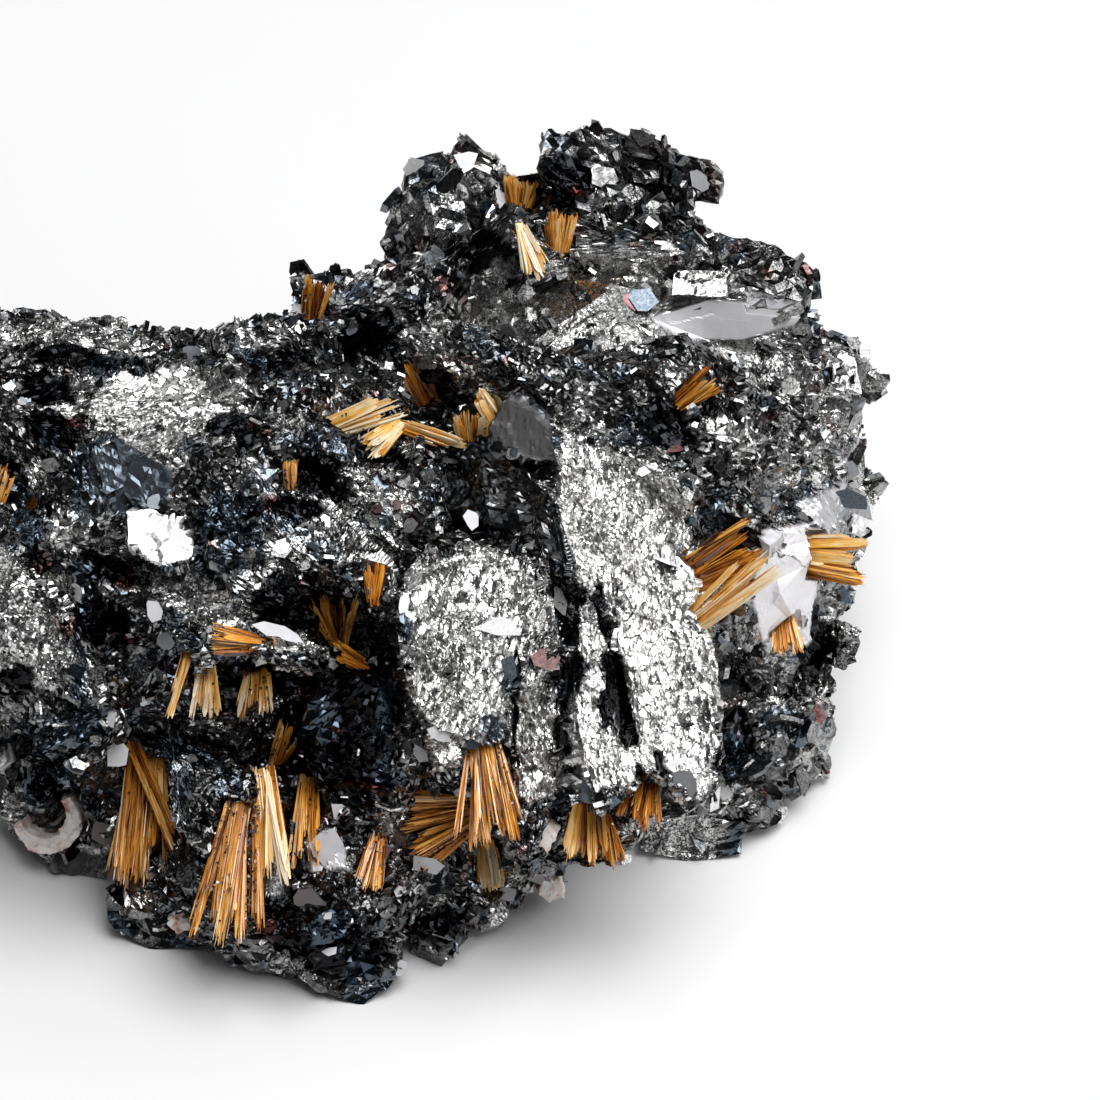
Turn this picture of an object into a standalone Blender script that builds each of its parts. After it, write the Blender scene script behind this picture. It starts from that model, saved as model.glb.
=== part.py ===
"""Rutile on hematite: a hand-size specimen of intergrown hematite plates with sheaves of golden rutile.

The part stands in its own frame, in metres: +Z is up, -Y is the specimen's best side, and the origin is
at the centre of the footprint on the surface that it rests on. Places on the best side are given along
the line of sight from which that side is seen: across to the right, up, and toward the viewer, in
millimetres from the middle of the face. Places on the other sides are given in plain X, Y, Z.
"""

import math
import random

import bmesh
import bpy
from mathutils import Euler, Matrix, Vector
from mathutils.bvhtree import BVHTree

MM = 0.001

# The line of sight to the best side: 40 degrees above the horizon, from 330 mm away.
SIGHT_ELEVATION = math.radians(40)
SIGHT_DISTANCE = 330 * MM
FACE_CENTRE = Vector((9.8, -9.85, 19.35)) * MM
RIGHT = Vector((1, 0, 0))
UPWARD = Vector((0, math.sin(SIGHT_ELEVATION), math.cos(SIGHT_ELEVATION)))
TOWARD = Vector((0, -math.cos(SIGHT_ELEVATION), math.sin(SIGHT_ELEVATION)))
SIGHT_BASIS = Matrix((RIGHT, UPWARD, TOWARD)).transposed()

SEED = 5
GAP = 0.3 * MM  # between the rutile or feldspar and the hematite that holds it
WELD = 0.001 * MM

# Lumps of the massive core: centre in X, Y, Z from the middle of the face, then half-sizes, in mm.
LUMPS = {
    "left_mass": ((-20.0, 7.0, -4.4), (16.6, 9.6, 11.2)),
    "left_end": ((-29.5, 8.5, -6.5), (6.5, 8.0, 9.0)),
    "front_ridge": ((0.5, 4.5, -6.5), (8.8, 9.0, 9.5)),
    "ridge_crest": ((5.5, 9.0, -1.5), (7.0, 6.5, 5.5)),
    "back_mass": ((3.5, 18.0, -7.0), (13.4, 11.0, 9.8)),
    "back_left": ((-7.4, 19.8, -8.4), (9.0, 7.6, 9.6)),
    "right_flank": ((10.0, 11.0, -9.6), (5.6, 8.6, 8.6)),
    "right_foot": ((9.0, 5.0, -16.0), (6.0, 5.0, 4.5)),
    "front_foot": ((-12.3, -5.0, -16.2), (8.8, 7.2, 5.0)),
    "left_foot": ((-23.4, 2.4, -15.8), (5.0, 5.0, 4.4)),
    "base": ((-2.0, 9.0, -14.5), (15.0, 11.0, 6.0)),
    "under_shoulder": ((-18.0, 3.5, -12.0), (9.0, 6.0, 5.0)),
    "under_ridge": ((-5.0, -0.5, -12.0), (6.5, 6.0, 6.0)),
    "back_crown": ((3.5, 25.5, 0.0), (4.8, 4.0, 4.0)),
    "back_left_tip": ((-5.5, 29.0, -3.5), (3.2, 3.0, 5.5)),
}
LUMP_SUBDIVISIONS = 2
LUMP_ROUGHNESS = 0.1

# The main plates of the best side: their outlines as seen, then how far the middle lies toward the viewer,
# the thickness, the lean upward and the swing to the right in degrees.
SHEETS = {
    # the shoulder, upper left
    "top_ledge": (
        [(-28.5, 11.4), (-24.0, 11.4), (-21.0, 10.8), (-20.0, 10.2), (-21.5, 9.8), (-24.5, 10.0), (-26.0, 9.4),
         (-28.5, 8.9)],
        -1.6, 2.4, 52, -4,
    ),
    "top_ledge_end": (
        [(-20.6, 10.2), (-18.4, 9.6), (-15.6, 8.5), (-15.0, 7.4), (-17.4, 8.3), (-19.6, 9.0)],
        -1.6, 2.2, 50, 4,
    ),
    "shoulder_dome": (
        [(-22.8, 7.5), (-21.5, 8.9), (-19.2, 9.3), (-16.8, 9.0), (-14.4, 7.8), (-13.8, 6.5), (-15.8, 5.2),
         (-18.5, 5.0), (-20.0, 3.6), (-21.6, 4.2), (-23.2, 5.5)],
        0.6, 2.4, 30, 0,
    ),
    "blue_plate": ([(-23.0, 5.2), (-22.0, 6.2), (-20.6, 5.4), (-20.8, 3.4), (-22.2, 2.8)], 2.6, 0.8, 6, 8),
    "blue_gray_plate": (
        [(-21.4, 3.0), (-20.8, 4.8), (-19.2, 5.0), (-18.0, 4.0), (-18.8, 2.2), (-20.6, 1.8)],
        2.9, 0.8, 0, -8,
    ),
    "mirror_crystal": (
        [(-21.1, 1.8), (-19.9, 2.1), (-18.6, 1.4), (-17.8, 0.2), (-18.0, -0.8), (-19.6, -0.8), (-21.1, 0.0)],
        3.6, 1.2, 22, 2,
    ),
    "ridge_upper": (
        [(-15.8, 8.5), (-14.4, 8.8), (-12.5, 7.5), (-10.2, 5.9), (-10.2, 4.8), (-12.5, 5.2), (-14.4, 6.0)],
        0.6, 1.3, 34, 8,
    ),
    "ridge_lower": (
        [(-10.8, 5.5), (-9.2, 4.8), (-7.5, 2.5), (-6.0, 0.5), (-6.2, -0.5), (-7.8, 0.2), (-9.8, 2.2), (-11.0, 4.0)],
        0.5, 1.3, 22, 22,
    ),
    "ridge_slope": ([(-17.0, 5.6), (-15.0, 6.4), (-14.0, 4.0), (-15.0, 1.8), (-17.2, 3.0)], 1.8, 1.0, -4, 12),
    "middle_slab": (
        [(-14.8, 4.0), (-12.5, 4.0), (-10.2, 1.5), (-7.8, -1.0), (-7.5, -2.5), (-10.0, -1.5), (-12.5, -0.5),
         (-14.4, 1.0)],
        2.0, 1.4, 12, 6,
    ),
    "middle_step": ([(-17.4, -0.2), (-14.8, 1.0), (-12.4, -0.8), (-12.8, -3.0), (-16.0, -2.6)], 2.9, 1.2, -12, -8),
    "front_ledge": (
        [(-22.5, -0.5), (-20.5, -1.0), (-17.5, -3.0), (-14.5, -4.0), (-11.0, -4.8), (-11.0, -5.6), (-13.5, -5.2),
         (-16.8, -4.1), (-20.0, -2.8), (-22.2, -1.8)],
        4.0, 1.0, 48, 0,
    ),
    "left_ridge": (
        [(-28.0, 1.0), (-26.5, 0.2), (-24.5, -2.5), (-23.2, -5.0), (-22.5, -7.0), (-23.5, -8.0), (-25.0, -7.0),
         (-26.5, -5.0), (-28.0, -3.5)],
        2.4, 1.6, 6, -14,
    ),
    "left_slope": (
        [(-28.6, 7.0), (-26.0, 6.0), (-24.6, 3.0), (-25.2, 0.4), (-27.6, 1.6), (-29.0, 3.6)],
        1.4, 1.3, 12, -14,
    ),
    "left_fin": ([(-24.4, 6.0), (-23.6, 6.2), (-21.6, 1.0), (-22.0, 0.4), (-23.0, 2.0)], 1.9, 2.2, 8, 36),
    "lower_left_slab": ([(-23.0, -4.6), (-20.6, -3.6), (-17.4, -4.8), (-17.0, -6.6), (-20.6, -7.4)], 0.9, 2.4, -18, 0),
    "fractured_crystal": (
        [(-25.8, -7.8), (-24.5, -7.2), (-22.8, -7.1), (-21.6, -8.1), (-21.5, -9.5), (-22.5, -10.6), (-24.5, -10.9),
         (-25.6, -9.8)],
        1.6, 3.4, -6, 0,
    ),
    # the valley and the dark flank
    "dark_flank": (
        [(-5.5, 4.8), (-3.5, 4.4), (-1.5, 4.0), (0.3, 2.5), (1.0, -0.5), (0.8, -2.0), (-1.5, -0.5), (-4.0, 1.0),
         (-5.5, 2.5)],
        -0.8, 1.6, 16, -44,
    ),
    "gray_facet": (
        [(-3.1, 6.8), (-2.5, 7.4), (-1.5, 7.4), (-0.8, 6.9), (0.1, 6.0), (0.4, 4.5), (-1.0, 4.5), (-2.2, 5.0),
         (-3.0, 5.5)],
        -0.6, 1.0, -8, -20,
    ),
    "valley_block": ([(-8.6, 4.0), (-7.2, 5.3), (-6.4, 5.4), (-6.6, 4.2), (-8.0, 3.6)], 0.4, 1.4, 12, 0),
    "valley_plate": ([(-8.0, 3.8), (-5.6, 4.2), (-4.6, 0.6), (-5.8, -1.6), (-7.6, 0.4)], -1.4, 1.2, 10, 34),
    # the silver dome
    "silver_dome": (
        [(-7.5, -2.0), (-6.8, -0.8), (-5.0, 0.1), (-2.8, 0.2), (-0.8, -0.5), (0.2, -2.5), (0.4, -5.0), (-1.0, -7.0),
         (-2.5, -7.5), (-3.5, -9.5), (-5.5, -9.0), (-7.0, -7.5), (-7.6, -4.5)],
        2.6, 2.4, 14, -8,
    ),
    "silver_dome_top": (
        [(-7.2, -1.2), (-6.0, 0.5), (-3.5, 1.0), (-1.0, 0.5), (-0.2, -0.8), (-2.8, -0.5), (-5.0, -0.6)],
        1.5, 1.8, 44, 0,
    ),
    "silver_strip": (
        [(-2.5, -7.5), (-1.0, -7.0), (0.4, -5.0), (0.8, -7.5), (0.2, -12.5), (-1.0, -15.5), (-1.9, -15.0),
         (-2.1, -11.5)],
        2.2, 1.8, 8, 12,
    ),
    "silver_corner": ([(-6.2, -9.2), (-5.0, -8.6), (-3.8, -9.8), (-4.0, -10.8), (-5.5, -10.6)], 2.8, 1.2, 22, 0),
    "blue_crystal": ([(-3.6, -7.5), (-2.6, -7.0), (-2.5, -9.2), (-3.2, -10.2), (-4.1, -9.8)], 3.2, 1.2, -4, -20),
    "dark_wall": (
        [(-11.0, -6.0), (-8.5, -7.0), (-7.5, -9.5), (-6.8, -11.5), (-7.5, -14.0), (-9.0, -16.0), (-11.0, -13.5),
         (-12.5, -9.5)],
        -0.6, 1.8, -18, -18,
    ),
    # the bright face, in two leaves with a furrow between them
    "bright_left": (
        [(0.2, 6.3), (2.9, 5.2), (4.1, 3.7), (3.6, -0.5), (2.8, -4.5), (2.8, -8.5), (4.2, -11.4), (2.5, -12.8),
         (1.8, -11.0), (1.2, -7.5), (1.1, -3.5), (1.1, -0.5), (0.5, 2.5)],
        1.8, 2.2, 16, -3,
    ),
    "bright_right": (
        [(2.5, 5.5), (4.8, 4.5), (7.0, 3.0), (7.2, -0.5), (7.4, -3.5), (8.4, -6.0), (8.3, -8.5), (8.6, -11.0),
         (8.1, -12.6), (7.0, -12.5), (5.2, -11.0), (3.9, -11.2), (3.8, -8.5), (3.4, -4.5), (3.7, -0.5), (3.8, 4.0)],
        1.6, 2.2, 14, 9,
    ),
    "lower_lip": (
        [(-2.2, -12.5), (0.5, -12.5), (3.5, -12.0), (5.2, -12.5), (4.5, -14.5), (2.5, -15.9), (0.2, -16.0),
         (-1.5, -15.9)],
        0.0, 1.6, -25, 0,
    ),
    # the crest
    "crest_left": (
        [(-7.1, 10.8), (-5.5, 11.6), (-2.5, 11.0), (0.5, 9.5), (1.2, 8.2), (-1.5, 8.9), (-4.5, 8.9), (-6.5, 9.6)],
        -3.2, 1.5, 46, -4,
    ),
    "crest_middle": (
        [(0.5, 9.4), (3.5, 8.8), (6.0, 7.0), (7.5, 4.5), (7.0, 2.9), (4.5, 4.4), (2.5, 5.5), (0.2, 6.5), (-1.5, 7.5),
         (-1.5, 8.8)],
        -1.6, 1.5, 48, 0,
    ),
    "crest_right": ([(7.2, 4.2), (9.5, 3.0), (11.8, 1.0), (11.0, 0.2), (9.2, 1.5), (7.1, 2.8)], -2.2, 1.3, 46, 6),
    # the back and the right side
    "gray_blade": (
        [(5.1, 11.6), (7.0, 12.2), (8.2, 12.6), (9.6, 12.5), (9.8, 11.8), (12.5, 11.6), (12.0, 11.0), (9.5, 10.5),
         (7.5, 10.5), (6.0, 11.0)],
        -11.4, 1.0, -22, 0,
    ),
    "lavender_plate": (
        [(10.4, -0.5), (11.0, 1.1), (12.5, 1.0), (13.2, -0.5), (13.0, -2.5), (12.2, -4.5), (11.0, -5.0),
         (10.0, -4.5), (10.1, -2.5)],
        -8.4, 1.2, -25, 0,
    ),
    "side_plate": ([(12.5, 2.8), (14.0, 3.4), (15.9, 2.5), (16.1, 1.5), (15.0, 1.9), (13.2, 1.8)], -13.0, 1.2, -24, 8),
    "side_dark": ([(13.0, 1.0), (14.5, 1.6), (16.1, 1.0), (15.6, 0.2), (15.1, -0.4), (13.2, 0.0)], -13.4, 1.4, 10, 18),
    "side_shelf": ([(13.5, 10.8), (15.0, 10.2), (15.6, 7.8), (14.5, 8.2), (13.2, 9.5)], -15.0, 1.6, 20, 22),
    "shoulder_back": (
        [(8.5, 15.8), (11.2, 15.2), (13.2, 13.0), (12.5, 12.4), (10.0, 13.0), (8.0, 14.2)],
        -15.4, 1.8, 34, 12,
    ),
    "crown_slab": (
        [(-0.5, 19.2), (-0.1, 21.0), (1.5, 21.1), (4.5, 20.7), (5.9, 20.0), (5.5, 18.6), (2.5, 18.2), (0.5, 17.8)],
        -18.0, 2.2, 18, 0,
    ),
    "crown_corner": ([(5.5, 19.9), (7.0, 19.5), (8.6, 18.7), (8.4, 17.4), (7.0, 17.6), (5.7, 18.2)], -17.6, 2.0, -10, 12),
    "crown_shelf": ([(-0.2, 16.8), (2.5, 17.4), (6.4, 16.6), (7.6, 15.0), (4.4, 14.4), (1.0, 15.0)], -15.0, 1.4, 48, 0),
    "tip_plate": ([(-5.0, 19.4), (-4.1, 20.3), (-2.9, 19.7), (-1.9, 18.2), (-2.5, 17.0), (-4.0, 17.4)], -24.6, 1.8, -14, 0),
    "tip_block": ([(-7.2, 19.7), (-5.5, 19.9), (-5.0, 19.2), (-5.2, 17.2), (-7.2, 17.2)], -23.4, 1.8, 16, -14),
    "tip_bridge": ([(-3.0, 18.4), (-1.6, 18.8), (0.6, 18.2), (0.8, 16.2), (-1.4, 15.6), (-3.0, 16.4)], -20.4, 2.4, 22, 0),
    "tip_gray": ([(-3.8, 17.2), (-2.6, 17.4), (-2.0, 16.4), (-2.8, 15.4), (-4.0, 16.0)], -21.8, 1.2, -20, 0),
    "back_shelf": (
        [(-14.6, 10.8), (-12.4, 12.4), (-9.4, 14.0), (-6.0, 14.6), (-3.5, 14.0), (-6.5, 12.5), (-10.5, 11.3)],
        -13.2, 1.6, 50, 0,
    ),
    "back_step": ([(-16.0, 10.0), (-14.4, 11.0), (-12.5, 10.2), (-13.0, 8.8), (-15.2, 8.8)], -11.0, 1.6, 10, -10),
    # the feet
    "foot_wedge": (
        [(-12.5, -19.0), (-10.2, -18.8), (-7.5, -19.5), (-7.8, -21.5), (-9.4, -22.8), (-11.0, -22.2), (-13.2, -21.2)],
        -2.5, 3.4, -8, 0,
    ),
    "foot_right": (
        [(-7.5, -17.2), (-5.2, -16.5), (-3.0, -17.0), (-2.5, -17.8), (-3.0, -18.8), (-5.2, -18.2), (-6.8, -20.0),
         (-7.5, -19.2)],
        -5.0, 2.4, -16, 6,
    ),
    "foot_notch": (
        [(-3.2, -15.0), (-1.0, -15.4), (0.6, -16.0), (0.5, -17.4), (-1.0, -17.0), (-2.6, -18.6), (-4.0, -17.8)],
        -6.2, 2.4, -12, 0,
    ),
    "foot_left": (
        [(-22.2, -17.0), (-20.5, -16.0), (-17.5, -17.5), (-16.8, -19.8), (-20.0, -20.0), (-21.6, -18.8)],
        -5.4, 2.0, -14, -8,
    ),
    "foot_front": (
        [(-16.8, -18.2), (-13.0, -18.5), (-11.0, -19.2), (-10.8, -21.8), (-13.0, -21.5), (-16.2, -20.5)],
        -3.8, 2.0, -16, 0,
    ),
    "red_plate": (
        [(-18.9, -9.8), (-16.8, -10.0), (-15.0, -11.2), (-14.8, -14.0), (-15.8, -15.5), (-17.2, -15.0),
         (-18.2, -14.5), (-18.9, -13.0)],
        0.2, 3.0, 6, -6,
    ),
    "lavender_chip": (
        [(-12.2, -15.0), (-11.6, -13.9), (-10.8, -14.2), (-10.1, -15.1), (-10.5, -15.8), (-11.6, -16.1)],
        -1.2, 1.4, -22, 0,
    ),
    "right_foot_plate": (
        [(4.5, -15.0), (5.0, -13.5), (7.5, -13.2), (9.8, -13.8), (9.6, -15.2), (7.0, -15.6)],
        -10.6, 2.0, -16, 0,
    ),
    "right_foot_side": (
        [(9.8, -7.5), (12.5, -7.0), (14.2, -5.0), (14.2, -6.8), (12.3, -8.2), (11.2, -12.0), (9.8, -14.0),
         (9.2, -10.5)],
        -11.6, 2.0, -8, 20,
    ),
    "left_foot_plate": (
        [(-27.5, -12.5), (-25.5, -10.8), (-23.0, -11.2), (-22.0, -13.5), (-22.2, -16.5), (-25.0, -15.8),
         (-26.8, -14.5)],
        -9.8, 2.0, -6, -8,
    ),
}
BEVEL_SHARE = 0.9
CORNER_JITTER = 0.34

# Plates grown all over the lumps that show: the surface of a lump, in square mm, that each one takes, their
# widths as shares of the lump's mean radius, their thickness in mm, the largest tilt away from the lump's
# surface in degrees, and how far out their middles lie.
BURIED_LUMPS = ("base", "under_shoulder", "under_ridge")
CRUST_AREA = 78
CRUST_WIDTH = (0.42, 0.86)
CRUST_THICKNESS = (1.0, 2.2)
CRUST_TILT = 42
CRUST_REACH = 0.99

# Sheaves of rutile needles on the best side: where the root and the tips are seen (across, up), how deep the
# root is sunk below the hematite's surface there, how far in front of that surface the tips are, the widths at
# the root and at the tips, the thickness, and the roll about the sheaf's own length in degrees. A sheaf lies on
# the crust that it grew over, so where the crust rises toward the viewer the root's depth is below zero.
SHEAVES = {
    "cavity_blade": ((-10.8, 6.1), (-7.1, 7.6), 0.8, 0.8, 1.0, 1.6, 0.5, 10),
    "cavity_pale_fan": ((-7.7, 6.1), (-9.5, 4.6), 0.4, 3.1, 0.8, 1.3, 0.4, -10),
    "cavity_long_blade": ((-7.3, 6.2), (-3.5, 5.0), 0.6, 0.8, 0.6, 0.6, 0.4, 20),
    "cavity_comb": ((-3.9, 5.6), (-4.0, 7.1), 0.4, 0.5, 1.6, 1.7, 0.5, 0),
    "cavity_strands": ((-6.0, 7.2), (-7.2, 9.5), 0.6, 0.4, 1.0, 1.3, 0.4, 0),
    "facet_blade": ((-2.9, 6.8), (-3.7, 8.3), 0.5, 0.8, 0.8, 0.7, 0.4, 0),
    "right_brown_bundle": ((7.0, -1.3), (10.9, 1.1), 1.2, 0.4, 2.0, 2.6, 1.2, 0),
    "right_pale_bundle": ((7.2, -3.6), (11.3, -0.2), 1.1, 1.5, 1.2, 1.7, 0.7, 10),
    "back_fan": ((-1.4, 16.0), (-0.5, 13.3), 0.0, 1.0, 0.6, 1.7, 0.5, 0),
    "back_gold_sheaf": ((0.4, 15.0), (0.5, 17.3), 0.6, 0.8, 1.1, 1.6, 0.5, 0),
    "crown_gold_sheaf": ((-1.5, 17.3), (-1.4, 18.9), 0.3, 0.6, 1.4, 1.8, 0.6, 0),
    "back_left_sheaf": ((-11.9, 11.6), (-11.6, 13.6), 0.8, 0.6, 0.9, 1.2, 0.5, 0),
    "crest_brown_sheaf": ((6.4, 7.2), (8.5, 8.9), 0.6, 0.6, 0.9, 1.3, 0.4, 0),
    "ledge_fan": ((-14.6, -4.7), (-17.3, -4.5), 0.8, 0.6, 0.8, 1.3, 0.5, -15),
    "ledge_blade": ((-9.5, -5.8), (-11.1, -5.0), 0.7, 0.6, 0.9, 1.2, 0.4, 0),
    "hollow_pale_tuft": ((-17.2, -6.0), (-17.3, -8.7), 0.8, 0.5, 1.0, 1.4, 0.5, 0),
    "hollow_gold_tuft": ((-14.7, -6.0), (-14.8, -8.8), 0.8, 0.6, 1.3, 1.8, 0.5, 0),
    "hollow_needles": ((-18.1, -5.0), (-19.2, -8.6), 0.6, 0.6, 0.5, 0.6, 0.4, 0),
    "middle_spray": ((-10.6, -4.4), (-11.0, -1.9), -0.1, 2.9, 1.1, 2.8, 0.5, 0),
    "middle_tuft": ((-8.8, -2.4), (-8.7, -0.4), -5.5, 5.9, 0.6, 1.2, 0.4, 0),
    "left_great_sheaf": ((-20.2, -10.2), (-20.6, -17.5), 1.0, 2.7, 2.0, 2.5, 1.3, 0),
    "left_cross_needles": ((-20.9, -9.8), (-18.1, -16.5), -0.5, 5.0, 0.6, 0.8, 0.4, 0),
    "front_great_sheaf": ((-15.4, -12.8), (-16.2, -20.0), 0.8, 1.4, 1.8, 2.9, 1.1, 0),
    "front_pale_sheaf": ((-14.3, -11.2), (-13.8, -17.5), -2.3, 5.0, 1.2, 1.6, 0.7, 0),
    "front_dull_sheaf": ((-12.1, -11.6), (-12.1, -16.0), -0.8, 3.8, 0.9, 1.1, 0.5, 0),
    "front_upright_tuft": ((-13.7, -10.6), (-12.9, -8.4), 0.2, 1.0, 0.7, 0.9, 0.4, 0),
    "wall_dull_sheaf": ((-8.6, -14.6), (-9.2, -17.4), 0.1, 1.1, 0.9, 1.2, 0.5, 0),
    "wall_great_fan": ((-4.0, -13.2), (-7.6, -14.3), 0.4, 1.0, 1.8, 4.0, 0.8, 0),
    "middle_great_sheaf": ((-3.3, -9.8), (-2.5, -15.8), 0.8, 1.6, 1.8, 2.6, 1.0, 0),
    "middle_peach_tuft": ((-3.1, -15.0), (-2.8, -17.2), 0.4, 1.0, 1.0, 1.2, 0.6, 0),
    "lip_fan": ((2.1, -12.4), (2.2, -16.0), 0.8, 1.0, 1.6, 2.8, 0.7, 0),
    "lip_brown_bundle": ((4.8, -11.4), (4.5, -14.2), 0.8, 0.8, 1.3, 1.6, 0.7, 0),
    "right_gold_tuft": ((11.7, -3.6), (11.9, -5.5), 0.7, 0.6, 1.2, 1.5, 0.6, 0),
    "right_peach_tile": ((12.8, -0.2), (16.0, -0.5), 1.0, 0.6, 1.9, 2.3, 0.6, 0),
    "left_edge_tuft": ((-27.6, 2.4), (-26.9, 4.6), 0.5, 0.5, 0.7, 0.8, 0.4, 0),
    "shoulder_orange_tuft": ((-13.0, 3.4), (-13.0, 4.8), 0.2, 0.5, 0.5, 0.7, 0.4, 0),
}

# Sheaves on the sides that the best side hides: the root's direction from the middle of the footprint in
# degrees, its height above the base, the length, how far it hangs below the horizontal in degrees, then the
# widths at the root and at the tips, the thickness and the roll.
HIDDEN_SHEAVES = {
    "back_hanging_sheaf": (82, 15.0, 5.2, 62, 1.4, 2.4, 0.9, 0),
    "back_low_fan": (108, 8.5, 3.8, 40, 1.0, 2.6, 0.7, 20),
    "back_left_fan": (138, 10.5, 4.4, 55, 1.2, 2.4, 0.8, 0),
    "left_end_sheaf": (172, 9.5, 4.8, 66, 1.3, 2.3, 0.8, 0),
    "left_end_tuft": (158, 14.5, 3.0, 25, 0.9, 1.6, 0.5, 0),
    "back_right_sheaf": (52, 11.0, 4.2, 58, 1.2, 2.2, 0.8, 0),
}
PRONGS = 4
PRONG_DEPTH = (0.12, 0.34)

# Blocky feldspar crystals, with the pinkish white of cleaved feldspar: where each is seen, its depth below
# the hematite's surface there, its sizes, the turn, lean and swing, and its corners.
FELDSPARS = {
    "feldspar_pink_block": ((-18.4, -18.5), -0.2, (1.7, 1.6, 1.4), (15, -15, 0), 5),
    "feldspar_white_block": ((-0.3, -14.1), -0.2, (1.2, 1.9, 1.2), (10, -15, 0), 4),
    "feldspar_chip": ((0.0, -16.9), 0.2, (1.3, 1.4, 1.1), (30, -20, 0), 5),
}

# The feldspar crescent on the left foot: where it is seen, its depth, the radii of its outer and inner edges,
# how far the inner edge's centre is shifted toward the opening, the thickness, where it opens in its own plane,
# in degrees, and how far that plane is turned, leant and swung.
CRESCENT_SPOT = (-25.05, -13.35)
CRESCENT_SINK = -0.2
CRESCENT_RADII = (1.8, 1.2)
CRESCENT_SHIFT = 0.25
CRESCENT_THICKNESS = 1.4
CRESCENT_OPENING = (15, 165)
CRESCENT_ANGLES = (28, -12, -10)
CRESCENT_STEPS = 9

# Colour, roughness and metallic value of each mineral.
FINISHES = {
    "hematite": ((0.16, 0.16, 0.17), 0.22, 1.0),
    "rutile": ((0.56, 0.30, 0.07), 0.30, 0.0),
    "feldspar": ((0.72, 0.58, 0.53), 0.45, 0.0),
}


def clear_scene():
    for obj in list(bpy.data.objects):
        bpy.data.objects.remove(obj)


def make_material(name, colour, roughness, metallic):
    material = bpy.data.materials.new(name)
    material.use_nodes = True
    shader = material.node_tree.nodes["Principled BSDF"]
    shader.inputs["Base Color"].default_value = (*colour, 1)
    shader.inputs["Roughness"].default_value = roughness
    shader.inputs["Metallic"].default_value = metallic
    return material


def seen(across, up, toward):
    """The point that is seen at (across, up) on the face's plane, and lies `toward` nearer to the viewer."""
    shrink = 1 - toward * MM / SIGHT_DISTANCE
    return FACE_CENTRE + MM * (shrink * (across * RIGHT + up * UPWARD) + toward * TOWARD)


def facing(turn, lean, swing):
    """A matrix that turns a flat piece in its own plane, then leans it upward and swings it to the right."""
    swung = Matrix.Rotation(math.radians(swing), 3, "Y")
    leant = Matrix.Rotation(math.radians(-lean), 3, "X")
    turned = Matrix.Rotation(math.radians(turn), 3, "Z")
    return SIGHT_BASIS @ swung @ leant @ turned


def new_object(name, bm, collection, material=None):
    mesh = bpy.data.meshes.new(name)
    bm.to_mesh(mesh)
    bm.free()
    if material:
        mesh.materials.append(material)
    obj = bpy.data.objects.new(name, mesh)
    collection.objects.link(obj)
    return obj


def make_cutter(obj):
    obj.hide_render = True
    obj.display_type = "WIRE"


def slab(name, outline, thickness, placing, collection, material=None):
    """A flat outline, in metres in its own plane, given a thickness and placed by a matrix."""
    curve = bpy.data.curves.new(name, "CURVE")
    curve.dimensions = "2D"
    curve.fill_mode = "BOTH"
    curve.extrude = thickness / 2
    spline = curve.splines.new("POLY")
    spline.points.add(len(outline) - 1)
    for point, (x, y) in zip(spline.points, outline):
        point.co = (x, y, 0, 1)
    spline.use_cyclic_u = True
    drawn = bpy.data.objects.new(name, curve)
    bpy.context.scene.collection.objects.link(drawn)
    bpy.context.view_layer.update()
    filled = bpy.data.meshes.new_from_object(drawn.evaluated_get(bpy.context.evaluated_depsgraph_get()))
    bpy.data.objects.remove(drawn)
    bm = bmesh.new()
    bm.from_mesh(filled)
    bmesh.ops.remove_doubles(bm, verts=bm.verts, dist=WELD)
    bmesh.ops.dissolve_limit(bm, angle_limit=math.radians(0.5), verts=bm.verts, edges=bm.edges)
    bmesh.ops.transform(bm, matrix=placing, verts=bm.verts)
    bmesh.ops.recalc_face_normals(bm, faces=bm.faces)
    return new_object(name, bm, collection, material)


def sheet(name, outline, toward, thickness, lean, swing, collection):
    """A broken plate whose front has the given outline when it is seen along the line of sight."""
    middle = seen(*(sum(places) / len(outline) for places in zip(*outline)), toward)
    turning = facing(0, lean, swing)
    normal = turning @ Vector((0, 0, 1))
    placing = Matrix.Translation(middle - normal * thickness * MM / 2) @ turning.to_4x4()
    flat = []
    for across, up in outline:
        near, far = seen(across, up, toward + 1), seen(across, up, toward - 1)
        share = normal.dot(middle - near) / normal.dot(far - near)
        in_plane = turning.transposed() @ (near + share * (far - near) - middle)
        flat.append((in_plane.x, in_plane.y))
    return slab(name, flat, thickness * MM, placing, collection)


def lump(name, centre, half_sizes, collection, rng):
    """An ellipsoid with knocked corners, part of the massive core."""
    bm = bmesh.new()
    bmesh.ops.create_icosphere(bm, subdivisions=LUMP_SUBDIVISIONS, radius=1)
    for vertex in bm.verts:
        vertex.co *= 1 + rng.uniform(-LUMP_ROUGHNESS, LUMP_ROUGHNESS)
    sizes = Matrix.Diagonal((*(half * MM for half in half_sizes), 1))
    bmesh.ops.transform(bm, matrix=sizes, verts=bm.verts)
    bmesh.ops.translate(bm, vec=FACE_CENTRE + Vector(centre) * MM, verts=bm.verts)
    return new_object(name, bm, collection)


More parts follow.
